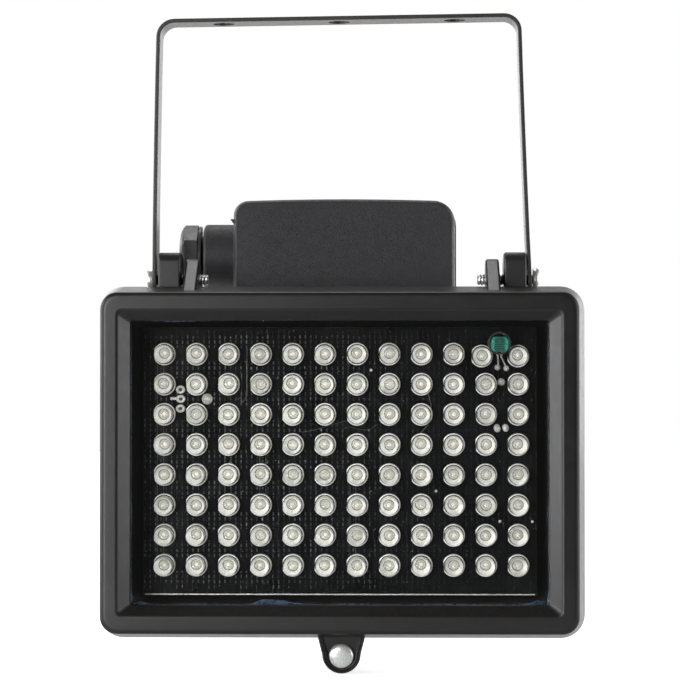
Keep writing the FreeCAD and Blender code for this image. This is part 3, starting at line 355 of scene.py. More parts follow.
def circle(centre, axis, along, radius, steps):
    """Points of a circle square to an axis; along is the place on that axis."""
    first, second = (centre[n] for n in ACROSS[axis])
    return laid([(first + a, second + b) for a, b in wheel(steps, radius)], axis, along)


def turned(mesh, centre, axis, profile, steps, finish=0, loop=False):
    """A turned form: the profile is a list of (place on the axis, radius)."""
    return skin(mesh, [circle(centre, axis, *stop, steps) for stop in profile], loop=loop, finish=finish)


def cut_out(solid, tool):
    """The first closed mesh with the second taken out of it."""
    work = []
    for source in (solid, tool):
        bmesh.ops.recalc_face_normals(source, faces=source.faces)
        data = bpy.data.meshes.new("work")
        source.to_mesh(data)
        source.free()
        thing = bpy.data.objects.new("work", data)
        bpy.context.scene.collection.objects.link(thing)
        work.append(thing)
    cut = work[0].modifiers.new("cut", "BOOLEAN")
    cut.operation, cut.solver, cut.object = "DIFFERENCE", "EXACT", work[1]
    bpy.context.view_layer.update()
    result = bmesh.new()
    result.from_object(work[0], bpy.context.evaluated_depsgraph_get())
    for thing in work:
        bpy.data.objects.remove(thing)
    return result


LAMP_FACE = (0, -20, -112)


def new_piece(name, mesh, finishes, nodes, body="lamp", crease=40, edge=0.0, rounds=2, corner=LAMP_FACE):
    """A piece from a mesh drawn in millimetres about a corner; edge is the rounding of its sharp edges."""
    bmesh.ops.recalc_face_normals(mesh, faces=mesh.faces)
    for vertex in mesh.verts:
        vertex.co = (vertex.co + Vector(corner)) * 0.001
    data = bpy.data.meshes.new(name)
    mesh.to_mesh(data)
    mesh.free()
    for finish in finishes:
        data.materials.append(finish)
    data.polygons.foreach_set("use_smooth", [True] * len(data.polygons))
    data.set_sharp_from_angle(angle=math.radians(crease))
    piece = bpy.data.objects.new(name, data)
    bpy.context.scene.collection.objects.link(piece)
    if edge:
        rounding = piece.modifiers.new("rounded edges", "BEVEL")
        rounding.width, rounding.segments = edge * 0.001, rounds
        rounding.limit_method, rounding.angle_limit = "ANGLE", math.radians(crease)
    piece.modifiers.new("even light", "WEIGHTED_NORMAL").keep_sharp = True
    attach(piece, body)
    if nodes:
        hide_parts(*nodes)


def strip_section(outer, inner, half_width):
    """The strip's cross-section between its outer and inner face, with rolled edges."""
    edge = 0.22
    points = []
    for side, through in ((1, 0.0), (1, 1.0), (-1, 1.0), (-1, 0.0)):
        for step in range(4):
            turn = math.radians(30 * step if side * (0.5 - through) > 0 else 90 - 30 * step)
            y = side * (half_width - edge + edge * math.sin(turn))
            depth = edge - edge * math.cos(turn)
            share = depth if through == 0 else 1 - depth
            points.append((outer[0] + (inner[0] - outer[0]) * share, y, outer[1] + (inner[1] - outer[1]) * share))
    return points


def lean_strip(mesh):
    """The strip was bent a little out of square: its web leans to the left and drops there."""
    for vertex in mesh.verts:
        height = min(1.0, max(0.0, (vertex.co.z + 66.5) / 62.0))
        share = height * height * (3 - 2 * height)
        drop = 1.3 * (0.5 - vertex.co.x / 91.4) * share
        vertex.co.x -= 0.35 * min(1.0, max(0.0, (vertex.co.z + 71.5) / 20.0)) + 0.5 * share
        vertex.co.z -= max(0.0, drop)


def bracket_strip():
    """Half of the strip's sections from the foot to the middle of the web, then their mirror."""
    foot, knee, low = 47.5, 45.7, -71.5
    bend, wall, round_end = 4.5, 1.0, 4.6
    length = math.hypot(foot - knee, low + bend)
    half = []
    places = [round_end * (1 - math.cos(math.pi / 2 * k / 9)) for k in range(10)]
    places += [8, 16, 30, 44, 58, length]
    for place in places:
        share = place / length
        x = foot + (knee - foot) * share
        z = low + (-bend - low) * share
        short = max(0.0, round_end - place)
        width = 0.4 + math.sqrt(max(0.0, round_end ** 2 - short ** 2))
        half.append(((x, z), (x - wall, z), width))
    for k in range(1, 9):
        turn = math.radians(90 * k / 8)
        centre = knee - bend
        faces = [(centre + r * math.cos(turn), -bend + r * math.sin(turn)) for r in (bend, bend - wall)]
        half.append((*faces, 5.0))
    for x in (33, 25, 8):
        half.append(((x, 0.0), (x, -wall), 5.0))
    whole = half + [((-o[0], o[1]), (-i[0], i[1]), w) for o, i, w in reversed(half)]
    mesh = skin(bmesh.new(), [strip_section(*station) for station in whole])
    lean_strip(mesh)
    return mesh


def holes(places):
    """Round tools for the drilled holes: (centre, axis, radius, start, end) each."""
    mesh = bmesh.new()
    for centre, axis, radius, start, end in places:
        turned(mesh, centre, axis, [(start, radius), (end, radius)], 40)
    return mesh


web_holes = [((x, 0, 0), "z", 2.7, -4, 3) for x in (-29.85, -0.85, 28.15)]
arm_holes = [((0, 0, -66.5), "x", 1.55, -55, 55)]
bracket = cut_out(bracket_strip(), holes(web_holes + arm_holes))
new_piece(
    "mounting_bracket_strip", bracket, [strip_paint], ["mounting_bracket"], "bracket",
    crease=50, edge=0.15, corner=(0, 0, 0)
)


# Housing: die-cast aluminium dish with drafted walls, two pivot lugs at its top, a boss for the
# closing screw under it and cooling fins on its back, coated satin black with a fine peel.
def rounded_ring(width, height, corner, depth, centre=(0, 0), steps=8, crown=0.0):
    """Points of a rectangle with round corners, seen from the front; corner is one radius or (left, right)."""
    left, right = corner if isinstance(corner, tuple) else (corner, corner)
    points = []
    for radius, side, level, start in ((right, 1, -1, -90), (right, 1, 1, 0), (left, -1, 1, 90), (left, -1, -1, 180)):
        x, z = side * (width / 2 - radius), level * (height / 2 - radius)
        points += arc((x, z), radius, start, start + 90, steps)
        if crown and start == 0:
            reach, low = width / 2 - right, width / 2 - left
            for k in range(1, 12):
                across = reach - (reach + low) * k / 12
                middle = (reach - low) / 2
                rise = crown * (1 - ((across - middle) / ((reach + low) / 2)) ** 2)
                points.append((across, height / 2 + rise))
    return [(x + centre[0], depth, z + centre[1]) for x, z in points]


def arc(centre, radius, start, end, steps):
    """Points of an arc between two angles in degrees."""
    turns = [math.radians(start + (end - start) * i / steps) for i in range(steps + 1)]
    return [(centre[0] + radius * math.cos(turn), centre[1] + radius * math.sin(turn)) for turn in turns]


def stack(mesh, sections, corner, centre=(0, 0), steps=8, finish=0):
    """A block with round corners; a section is (depth, width, height)."""
    return skin(
        mesh, [rounded_ring(width, height, corner, depth, centre, steps) for depth, width, height in sections],
        finish=finish
    )


def eased(stops, closed=True):
    """Rounds a profile's corners; a stop is (width, height, corner, depth, easing)."""
    samples = 4
    result = []
    for i, stop in enumerate(stops):
        if not stop[4] or (not closed and i in (0, len(stops) - 1)):
            result.append(stop[:4])
            continue
        ends = []
        for other in (stops[i - 1], stops[(i + 1) % len(stops)]):
            reach = math.hypot((other[0] - stop[0]) / 2, other[3] - stop[3])
            share = min(0.49, stop[4] / reach)
            ends.append([a + (b - a) * share for a, b in zip(stop[:4], other[:4])])
        for t in (k / samples for k in range(samples + 1)):
            result.append(tuple(
                (1 - t) ** 2 * a + 2 * t * (1 - t) * b + t * t * c for a, b, c in zip(ends[0], stop[:4], ends[1])
            ))
    return result


def plate(mesh, outline, low, high, finish=0):
    """A flat plate that faces the front; low and high are the depths of its two sides."""
    return skin(mesh, [laid(outline, "y", depth) for depth in (low, high)], finish=finish)


def inset(outline, amount):
    """The outline moved inwards by an amount; it is drawn clockwise or the other way round."""
    area = sum(a[0] * b[1] - b[0] * a[1] for a, b in zip(outline, outline[1:] + outline[:1]))
    sign = 1 if area > 0 else -1
    moved = []
    for i, point in enumerate(outline):
        before, after = Vector(outline[i - 1]), Vector(outline[(i + 1) % len(outline)])
        here = Vector(point)
        first, second = (here - before).normalized(), (after - here).normalized()
        inward = Vector((-(first.y + second.y), first.x + second.x)).normalized() * sign
        moved.append(tuple(here + inward * amount))
    return moved


def soft_plate(mesh, outline, low, high, rounding):
    """An upright plate, square to the width, whose rims are rounded."""
    steps = [math.radians(22.5 * k) for k in range(5)]
    sides = [(low + rounding * (1 - math.sin(t)), rounding * (1 - math.cos(t))) for t in reversed(steps)]
    sides += [(high - rounding * (1 - math.sin(t)), rounding * (1 - math.cos(t))) for t in steps]
    return skin(mesh, [laid(inset(outline, moved), "x", along) for along, moved in sides])


def add_part(mesh, part):
    """Puts one mesh into another."""
    data = bpy.data.meshes.new("part")
    part.to_mesh(data)
    part.free()
    mesh.from_mesh(data)


casting_coat = painted("casting_coat", (29, 28, 28), (37, 36, 36), (92, 90, 88), 0.38, 2.6, 0.35, 0.34, 0.12)

dish_profile = eased([
    (97.4, 64.2, 1.0, 33.0, 0.0), (97.9, 64.7, 1.2, 32.0, 0.6), (108.35, 75.15, 6.47, 10.2, 0.35),
    (113.14, 79.94, 8.19, 10.2, 0.4), (100.9, 67.7, 2.2, 34.7, 0.9), (98.16, 64.96, 2.0, 36.0, 0.0),
], closed=False)
dish = skin(bmesh.new(), [rounded_ring(*stop) for stop in dish_profile])

fin_profile = (
    (35.9, 1.5, 0.0), (36.25, 0.55, 0.35), (36.9, 0.12, 0.5), (42.3, -0.35, 1.3), (42.8, -0.6, 1.6),
    (43.0, -1.0, 2.1),
)
FIN_PITCH = 8.0
for column in range(12):
    fin_place = (FIN_PITCH * (column - 5.5), -14.24)
    skin(dish, [
        rounded_ring(
            1.6 + flare, 33.48 + max(flare, 0) * 0.6 - 2 * drop, min(0.5, 0.4 + flare / 4), depth, fin_place, 3
        ) for depth, flare, drop in fin_profile
    ])

lug_outline = [(13.3, 38.0)] + arc((15.9, 49.6), 2.6, 180, 90, 8) + arc((20.4, 45.9), 6.3, 90, 0, 12) + [(26.7, 34.8)]
for low, high in ((-45.85, -40.3), (40.3, 45.85)):
    soft_plate(dish, lug_outline, low, high, 0.55)

BOSS = (0, 0, -47.4)
boss_outline = [(-4.2, -37.2)] + arc((0, -47.4), 4.2, 180, 360, 20) + [(4.2, -37.2)]
boss = plate(bmesh.new(), boss_outline, 12.4, 19.4)
add_part(dish, cut_out(boss, holes([(BOSS, "y", 1.75, 11.0, 16.0)])))

POSTS = [(x, z) for x in (-45.0, 45.0) for z in (-29.5, 29.5)]
for post in POSTS:
    stack(dish, [(33.2, 4.6, 4.6), (20.6, 4.6, 4.6)], 0.8, post, 3)
new_piece("housing_casting", dish, [casting_coat], ["housing"], crease=50, edge=0.5, rounds=3)


# Pivot screws: zinc-plated pan heads with coarse threads; they clamp the arms to the lugs, and
# their tips carry the front frame's ears.
def mottled(name, tones, drift, patches=(0.35, 0.65), grain=None, fleck=None, rough=None, relief=None, **values):
    """A finish of two tones by one noise; a finer one may add flecks, uneven gloss and relief.
    Fleck is (low, high, tone), rough is (low, high, from, to) and relief is (strength, distance)."""
    material, tree, shader = new_finish(name, **values)
    where = millimetres(tree)
    fine = slow = noise(tree, where, *drift)
    colour = mix_colours(tree, span(tree, slow, *patches), *tones)
    if grain:
        fine = noise(tree, where, *grain)
    if fleck:
        colour = mix_colours(tree, span(tree, fine, *fleck[:2]), colour, fleck[2])
    wire(tree, shader, Base_Color=colour)
    if rough:
        wire(tree, shader, Roughness=span(tree, fine, *rough))
    if relief:
        bump(tree, shader, fine, *relief)
    return material


def thread(mesh, centre, axis, start, end, radius, deep, pitch, steps=24):
    """A screw's shank with a real helical thread, pointed a little at its end."""
    rings = []
    count = int(abs(end - start) / pitch * 8)
    for i in range(count + 1):
        along = start + (end - start) * i / count
        fade = min(1.0, i / 4, (count - i) / 10 + 0.15)
        ridges = [max(0.0, 1 - abs((along / pitch + k / steps) % 1.0 - 0.5) * 3.0) for k in range(steps)]
        rings.append(circle(centre, axis, along, [radius - deep + deep * ridge * fade for ridge in ridges], steps))
    return skin(mesh, rings)


def swung(outline, turn, centre):
    """A flat outline turned about the origin and moved to a centre."""
    c, s = math.cos(turn), math.sin(turn)
    return [(centre[0] + u * c - v * s, centre[1] + u * s + v * c) for u, v in outline]


def cross_recess(centre, axis, top, sink, radius, turn):
    """The tool that cuts a cross recess into a head; top is its mouth and sink its depth, with sign."""
    middle = [centre[n] for n in ACROSS[axis]]
    rings = []
    for share, wide, reach in ((-0.4, 0.20, 1.06), (0.0, 0.18, 1.0), (0.75, 0.13, 0.55), (1.0, 0.06, 0.2)):
        r, w = radius * reach, radius * wide
        corners = [
            (r, -w), (r, w), (w, w), (w, r), (-w, r), (-w, w),
            (-r, w), (-r, -w), (-w, -w), (-w, -r), (w, -r), (w, -w),
        ]
        rings.append(laid(swung(corners, turn, middle), axis, top + sink * share))
    return skin(bmesh.new(), rings)


def pan_head(centre, axis, seat, top, radius, turn):
    """A pan head with a cross recess; top is the outer end."""
    rise = top - seat
    profile = [(seat, radius * 0.93), (seat + rise * 0.06, radius * 0.985), (seat + rise * 0.3, radius)]
    for k in range(7):
        angle = math.radians(90 * k / 6)
        profile.append((seat + rise * (0.42 + 0.58 * math.sin(angle)), radius * (0.52 + 0.48 * math.cos(angle))))
    profile.append((top, radius * 0.2))
    head = turned(bmesh.new(), centre, axis, profile, 36)
    return cut_out(head, cross_recess(centre, axis, top, -rise * 0.6, radius * 0.5, turn))


zinc = mottled(
    "zinc_plate", [(226, 230, 230), (248, 248, 244)], (0.9, 4.0, 0.6), grain=(9.0, 3.0, 0.6),
    fleck=(0.62, 0.8, (150, 158, 160)), rough=(0.3, 0.7, 0.22, 0.38), relief=(0.25, 0.00004), Metallic=0.72
)
HINGE = (0, 20, 45.5)
for side, word in ((-1, "left"), (1, "right")):
    screw = pan_head(HINGE, "x", side * 47.65, side * 49.54, 2.9, 0.4)
    thread(screw, HINGE, "x", side * 47.65, side * 33.8, 1.5, 0.32, 0.8)
    new_piece(f"pivot_screw_{word}_threaded", screw, [zinc], [f"pivot_screw_{word}"], crease=35)


# Rim gasket: a ring cut from a sheet of black foam rubber. It is stuck on the housing's rim, and
# the front frame presses on it.
def soft_rubber(name, tone, grain):
    return mottled(
        name, [tone, [part + 12 for part in tone]], (0.15, 2.0), (0.3, 0.7), (grain, 4.0, 0.7),
        (0.6, 0.72, (12, 12, 12)), (0.3, 0.7, 0.72, 0.92), (0.6, 0.0001), Specular_IOR_Level=0.3
    )


foam_rubber = soft_rubber("foam_rubber", (30, 30, 31), 4.5)
gasket_profile = eased([
    (108.35, 75.15, 6.4, 9.42, 0.25), (113.14, 79.94, 8.19, 9.42, 0.25),
    (113.14, 79.94, 8.19, 10.2, 0.2), (108.35, 75.15, 6.4, 10.2, 0.2),
])
gasket = skin(bmesh.new(), [rounded_ring(*stop) for stop in gasket_profile], loop=True)
new_piece("rim_gasket_foam", gasket, [foam_rubber], ["rim_gasket"])


# Circuit board: glass-fibre laminate with a black solder mask over a hatched ground pattern,
# tinned pads, bare tracks and small vias; the copper shows as fine raised dashes whose light grey
# is partly their own tone and partly a painted glint, strongest at the left.
MIDDLE_X, MIDDLE_Z = -0.35, 0.5
COLUMN_PITCH, ROW_PITCH = 8.03, 7.53
BOARD_FRONT = 18.6


def ground_hatch_group():
    """Dashes of the hatched ground plane, left out round the emitters and along their rows; they fade towards the
    right, a painted glint that is strongest at the left.
    """
    tree, given, output = new_group("ground hatch", [("Strength", 1.0)], ["Copper", "Height"])
    axes = parts_of(tree, millimetres(tree))
    x, z = axes["X"], maths(tree, "ADD", axes["Z"], -LAMP_FACE[2])

    def to_nearest(value, origin, pitch):
        steps = maths(tree, "DIVIDE", maths(tree, "SUBTRACT", value, origin), pitch)
        offset = maths(tree, "SUBTRACT", steps, maths(tree, "ROUND", steps))
        return times(tree, maths(tree, "ABSOLUTE", offset), pitch)

    across = span(tree, to_nearest(x, -49.43, 1.34), 0.06, 0.22, 1.0, 0.0)
    upright = span(tree, to_nearest(z, 31.18, 1.302), 0.34, 0.52, 1.0, 0.0)
    dash = times(tree, across, upright)
    from_column = to_nearest(x, MIDDLE_X + COLUMN_PITCH * 0.5, COLUMN_PITCH)
    from_row = to_nearest(z, MIDDLE_Z + ROW_PITCH * 0.5, ROW_PITCH)
    squares = maths(tree, "ADD", maths(tree, "POWER", from_column, 2.0), maths(tree, "POWER", from_row, 2.0))
    ring = maths(tree, "GREATER_THAN", maths(tree, "SQRT", squares), 3.2)
    band = maths(tree, "MAXIMUM", maths(tree, "GREATER_THAN", from_row, 1.5), maths(tree, "LESS_THAN", x, -47.4))
    edge = span(tree, maths(tree, "ABSOLUTE", z), 31.0, 33.0, 1.0, 0.0)
    # Painted glint: the dashes show less towards the right, away from the light at the left.
    fade = span(tree, x, -30.0, 26.0, 1.0, 0.12)
    keep = times(tree, times(tree, ring, band), times(tree, edge, fade))
    uneven = span(tree, noise(tree, millimetres(tree), 0.45, 3.0, 0.7), 0.40, 0.66, 0.12, 1.0)
    copper_and_glint = times(tree, times(tree, dash, keep), times(tree, uneven, given["Strength"]))
    wire(tree, output, Copper=copper_and_glint, Height=dash)
    return tree


def board_mask():
    material, tree, shader = new_finish("board_mask", Specular_IOR_Level=0.12)
    hatch = place_group(tree, ground_hatch_group(), Strength=1.0)
    coat = place_group(tree, COAT_TEXTURE, Grain=1.4, Speck=0.0)
    colour = mix_colours(tree, span(tree, coat["Tone"], 0.3, 0.7), (8, 9, 11), (15, 16, 19))
    # The dashes' light grey is the copper's own faint tone and a painted glint on it.
    colour = mix_colours(tree, hatch["Copper"], colour, (96, 99, 104))
    wire(tree, shader, Base_Color=colour, Roughness=span(tree, coat["Gloss"], 0.3, 0.7, 0.14, 0.24))
    relief = maths(tree, "ADD", hatch["Height"], times(tree, coat["Height"], 0.15))
    bump(tree, shader, relief, 0.5, 0.00004)
    return material


def laminate_edge():
    material, tree, shader = new_finish("laminate_edge", Roughness=0.7)
    where = millimetres(tree)
    waves = {"Vector": where, "Scale": 3.0, "Distortion": 1.5}
    layers = node(tree, "TexWave", waves, bands_direction="Y").outputs["Fac"]
    fibres = noise(tree, where, 6.0, 4.0, 0.7)
    colour = mix_colours(tree, layers, (70, 66, 52), (96, 90, 70))
    wire(tree, shader, Base_Color=mix_colours(tree, span(tree, fibres, 0.4, 0.7), colour, (56, 54, 46)))
    bump(tree, shader, fibres, 0.4, 0.00005)
    return material


def tinned(name, low, high):
    """Solder and tinned copper: bright, with the slight crust of a hand-made joint."""
    return mottled(
        name, [high, low], (2.6, 5.0, 0.65, 0.5), (0.35, 0.7), rough=(0.3, 0.7, 0.24, 0.46), relief=(0.4, 0.00012),
        Metallic=0.4
    )


solder = tinned("solder", (160, 162, 160), (252, 252, 250))
faint_track = tinned("faint_track", (36, 38, 38), (96, 98, 96))
mask = board_mask()
laminate = laminate_edge()

board = skin(bmesh.new(), [
    rounded_ring(98.4 - less, 67.0 - less, 0.5 - less / 2, depth, (-0.65, 0.1), 3)
    for less, depth in ((0.2, BOARD_FRONT), (0.0, 18.72), (0.0, 20.08), (0.2, 20.2))
], finish=1)
for face in board.faces:
    if len(face.verts) > 4:
        face.material_index = 0
new_piece("circuit_board_laminate", board, [mask, laminate], ["circuit_board"])


def solder_dome(mesh, x, z, radius, height, squash=1.0, turn=0.0, eyelet=False, finish=0):
    """A joint: a low dome with a concave foot on the board's front, or a ring round its pin."""
    dome = [(1.0, 0.0), (0.96, 0.06), (0.8, 0.3), (0.62, 0.62), (0.4, 0.88), (0.14, 1.0)]
    if eyelet:
        dome = [
            (1.0, 0.0), (0.97, 0.3), (0.86, 0.55), (0.6, 0.6), (0.42, 0.3), (0.36, 0.05), (0.22, 0.04), (0.2, 0.3),
            (0.08, 0.32),
        ]
    rings = []
    for share, rise in dome:
        oval = [(radius * share * a, radius * squash * share * b) for a, b in wheel(16)]
        rings.append(laid(swung(oval, turn, (x, z)), "y", BOARD_FRONT - height * rise + 0.005))
    if eyelet:
        skin(mesh, rings[:5], ends=(False, False))
        skin(mesh, rings[4:], ends=(False, True), finish=1)
    else:
        skin(mesh, rings, ends=(False, True), finish=finish)


def track(mesh, points, width, finish, height=0.05):
    """A bare tinned track along a few points on the board."""
    left, right = [], []
    for i, point in enumerate(points):
        before, after = points[max(0, i - 1)], points[min(len(points) - 1, i + 1)]
        way = Vector((after[0] - before[0], after[1] - before[1])).normalized()
        left.append((point[0] - way.y * width / 2, point[1] + way.x * width / 2))
        right.append((point[0] + way.y * width / 2, point[1] - way.x * width / 2))
    low = [mesh.verts.new((a, BOARD_FRONT - 0.002, b)) for a, b in left + right[::-1]]
    top = []
    for a, b in zip(left, right):
        for lift in (0.25, 0.75):
            x, z = a[0] + (b[0] - a[0]) * lift, a[1] + (b[1] - a[1]) * lift
            top.append(mesh.verts.new((x, BOARD_FRONT - height, z)))
    for i in range(len(points) - 1):
        j = i + 1
        for corners in (
            (low[i], low[j], top[2 * j], top[2 * i]), (top[2 * i], top[2 * j], top[2 * j + 1], top[2 * i + 1]),
            (top[2 * i + 1], top[2 * j + 1], low[-1 - j], low[-1 - i]),
        ):
            mesh.faces.new(corners).material_index = finish


joints = bmesh.new()
for x, z in ((-40.55, 17.98), (-40.5, 15.63), (-40.55, 13.23)):
    solder_dome(joints, x, z, 1.2, 0.7, 0.86, eyelet=True)
track(joints, [(-43.1, 15.75), (-41.4, 15.75)], 0.7, 0, 0.2)
for x, z, radius, height, squash in (
    (-33.87, 15.6, 1.36, 0.9, 1.0), (39.67, 19.85, 0.92, 0.7, 1.0), (38.63, 8.33, 0.82, 0.6, 1.25),
    (40.75, 8.4, 0.8, 0.6, 1.25), (38.75, 23.5, 0.74, 0.6, 1.0), (40.95, 23.25, 0.7, 0.55, 1.0),
):
    solder_dome(joints, x, z, radius, height, squash, 0.2)
VIAS = {
    -1: (3, 4, 6), 0: (4, 5, 6, 7), 1: (3,), 2: (2, 4, 6, 7), 3: (3, 6), 5: (0, 5, 6), 6: (0, 3, 4, 5, 6, 7),
    7: (-1, 1, 3, 5, 6, 7), 8: (4,), 9: (6, 7), 10: (1, 2, 3, 5, 6), 11: (-1, 0, 1, 5),
}
hand = random.Random(11)
for column, rows in VIAS.items():
    for row in rows:
        bright = (column, row) in ((8, 4), (10, 5), (11, 5), (6, 0))
        x = -0.8 + COLUMN_PITCH * (column - 5) + hand.uniform(-0.15, 0.15)
        z = 0.1 + ROW_PITCH * (3 - row) + hand.uniform(-0.15, 0.15)
        solder_dome(joints, x, z, 0.36 if bright else hand.uniform(0.13, 0.2), 0.12, finish=0 if bright else 1)
EDGE_TRACK = 0.3
for points, width in (
    ([(-46.35, 27.0 - ROW_PITCH * i) for i in range(8)], 0.18), ([(-44.75, 27.0), (-44.75, 19.6)], 0.22),
    ([(-44.75, 12.0), (-44.75, -25.0)], 0.16), ([(-23.9, 28.2), (-23.9, 16.6), (-24.4, 15.4), (-25.4, 14.6)], 0.22),
    ([(-25.2, 22.0), (-25.2, 16.4), (-26.2, 15.4)], 0.16), ([(-29.4, 12.0), (-29.4, -11.0)], 0.14),
    ([(-27.85, 4.0), (-27.85, -11.0)], 0.14), ([(-20.65, 4.0), (-20.65, -11.0)], 0.14),
    ([(-19.15, 4.0), (-19.15, -11.0)], 0.14), ([(1.9, -3.0), (1.9, -26.0)], 0.12),
    ([(3.35, -3.0), (3.35, -26.0)], 0.12), ([(-49.4, -33.2), (48.0, -33.2)], EDGE_TRACK),
    ([(-10.0, 7.3), (-6.8, 7.9), (-3.6, 8.9), (0.6, 10.1), (3.0, 9.9)], 0.13),
    ([(0.5, 8.3), (2.2, 8.6), (4.1, 8.0), (6.6, 7.9), (8.8, 9.2)], 0.12),
    ([(21.5, 16.8), (22.2, 14.1), (21.3, 9.1), (19.4, 6.9)], 0.26),
):
    track(joints, points, width, 0 if width == EDGE_TRACK else 1)
new_piece("circuit_board_joints", joints, [solder, faint_track], (), crease=60)


# Board bonds: dabs of clear silicone on the housing's four posts, which hold the board there.
# They were pressed flat a little when the board was set down.
silicone = mottled(
    "silicone", [(58, 76, 96), (92, 112, 134)], (0.8, 4.0, 0.6), rough=(0.3, 0.7, 0.22, 0.40), relief=(0.3, 0.0002),
    Transmission_Weight=0.4, IOR=1.41,
    Subsurface_Weight=0.3, Subsurface_Radius=(0.6, 0.8, 1.0), Subsurface_Scale=0.001
)
dabs = bmesh.new()
for post in POSTS:
    skin(dabs, [
        rounded_ring(side, side, side * 0.4, depth, post, 4)
        for depth, side in ((20.2, 4.2), (20.3, 4.55), (20.5, 4.55), (20.6, 4.2))
    ])
new_piece("board_bond_dabs", dabs, [silicone], ["board_bonds"])


# Emitters: clear cast 5 mm lamps in twelve columns and eight rows. Each has a flange with one
# flat side, a barrel and a dome; inside stand the anvil with its bright cup and the thin post.
def open_to_shadows(material, **tint):
    """Lets light pass straight through on its way to what lies behind."""
    tree = material.node_tree
    clear = node(tree, "BsdfTransparent", tint).outputs[0]
    shadow = node(tree, "LightPath").outputs["Is Shadow Ray"]
    mix = node(tree, "MixShader", {0: shadow, 1: tree.nodes["Principled BSDF"].outputs[0], 2: clear})
    tree.links.new(mix.outputs[0], tree.nodes["Material Output"].inputs["Surface"])
    return material


def silvered():
    material, tree, shader = new_finish("silvered_cup", Metallic=0.3)
    where = millimetres(tree)
    fine = noise(tree, where, 5.0, 3.0, 0.6)
    broad = noise(tree, where, 0.42, 2.0, 0.5)
    colour = mix_colours(tree, span(tree, fine, 0.35, 0.65), (236, 237, 234), (254, 254, 252))
    colour = mix_colours(tree, span(tree, broad, 0.52, 0.64, 0.0, 0.5), colour, (168, 172, 166))
    wire(tree, shader, Base_Color=colour, Roughness=span(tree, fine, 0.3, 0.7, 0.28, 0.42))
    return material


def dull_metal(name, low, high):
    return mottled(name, [low, high], (8.0, 3.0, 0.6), Roughness=0.4)


def slab(left, right, low, high):
    """A rectangle's outline."""
    return [(left, low), (right, low), (right, high), (left, high)]


def emitter_body(mesh):
    """The resin: flange with a flat on its left, barrel and dome."""
    levels = [
        (BOARD_FRONT, 2.84), (17.4, 2.84), (17.25, 2.76), (17.22, 2.54), (17.14, 2.42), (16.85, 2.36), (15.0, 2.3),
        (13.2, 2.26),
    ]
    for k in range(1, 8):
        angle = math.radians(90 * k / 7.3)
        levels.append((13.2 - 2.45 * math.sin(angle), 2.26 * math.cos(angle)))
    flat = -2.5
    skin(mesh, [laid([(max(x, flat), z) for x, z in wheel(24, radius)], "y", depth) for depth, radius in levels])
    mesh.faces.ensure_lookup_table()
    # The flange's side, chamfer and front ring take an opaque white finish: a painted highlight for the light the
    # clear resin catches at its rim.
    flange_faces = 3 * 24
    for face in mesh.faces[:flange_faces]:
        face.material_index = 3


def emitter_inside(mesh):
    """The cup on its anvil, the chip in it and the post beside it."""
    cup = [
        (17.0, 1.3), (15.0, 1.75), (13.7, 1.9), (13.6, 1.86), (13.65, 1.72), (14.2, 1.18), (14.48, 0.8),
        (14.56, 0.54), (14.62, 0.45), (14.58, 0.34), (14.6, 0.17),
    ]
    turned(mesh, (0, 0, 0), "y", cup, 20, finish=1)
    mesh.faces.ensure_lookup_table()
    # The cup's bottom takes its finish ring by ring: the middle silver, the floor grey, and the ring where floor
    # meets wall a darker grey, a painted shade in that crease.
    for face in mesh.faces:
        reach = max(math.hypot(vertex.co.x, vertex.co.z) for vertex in face.verts)
        for limit, finish in ((0.2, 1), (0.46, 2), (0.56, 4)):
            if reach < limit:
                face.material_index = finish
                break
    for outline, low, high in (
        (slab(-0.9, 0.75, -0.3, 0.3), 18.5, 16.9), (slab(1.85, 2.2, -0.2, 0.2), 18.5, 15.4),
        (slab(-0.1, 0.1, -0.1, 0.1), 14.62, 14.5),
    ):
        plate(mesh, outline, low, high, finish=1)


model = bmesh.new()
emitter_body(model)
emitter_inside(model)
bmesh.ops.recalc_face_normals(model, faces=model.faces)
model_data = bpy.data.meshes.new("emitter")
model.to_mesh(model_data)
model.free()
emitters = bmesh.new()
hand = random.Random(5)
for row, column in [(row, column) for row in range(8) for column in range(12)]:
    x = MIDDLE_X + COLUMN_PITCH * (column - 5.5)
    z = MIDDLE_Z + ROW_PITCH * (3.5 - row)
    if row == 0 and column >= 10:
        z -= 0.5
        x -= 1.0 if column == 10 else 0.0
    first = len(emitters.verts)
    emitters.from_mesh(model_data)
    emitters.verts.ensure_lookup_table()
    lean_x, lean_z = hand.uniform(-0.016, 0.016), hand.uniform(-0.045, -0.017)
    cup_x, cup_z = hand.uniform(-0.06, 0.06), hand.uniform(-0.04, 0.08)
    turn = hand.uniform(-0.09, 0.09)
    for vertex in emitters.verts[first:]:
        high = BOARD_FRONT - vertex.co.y
        inside = {face.material_index for face in vertex.link_faces} & {1, 2, 4}
        u, v = vertex.co.x, vertex.co.z
        if inside and high < 5.2:
            u, v = u + cup_x, v + cup_z
        [(u, v)] = swung([(u, v)], turn, (x, z))
        vertex.co.x, vertex.co.z = u + lean_x * high, v + lean_z * high
clear_resin = open_to_shadows(mottled(
    "clear_resin", [(250, 249, 246), (254, 254, 252)], (0.11, 2.0), grain=(0.7, 2.0), relief=(0.12, 0.0001),
    Transmission_Weight=1.0, IOR=1.50, Roughness=0.02
))
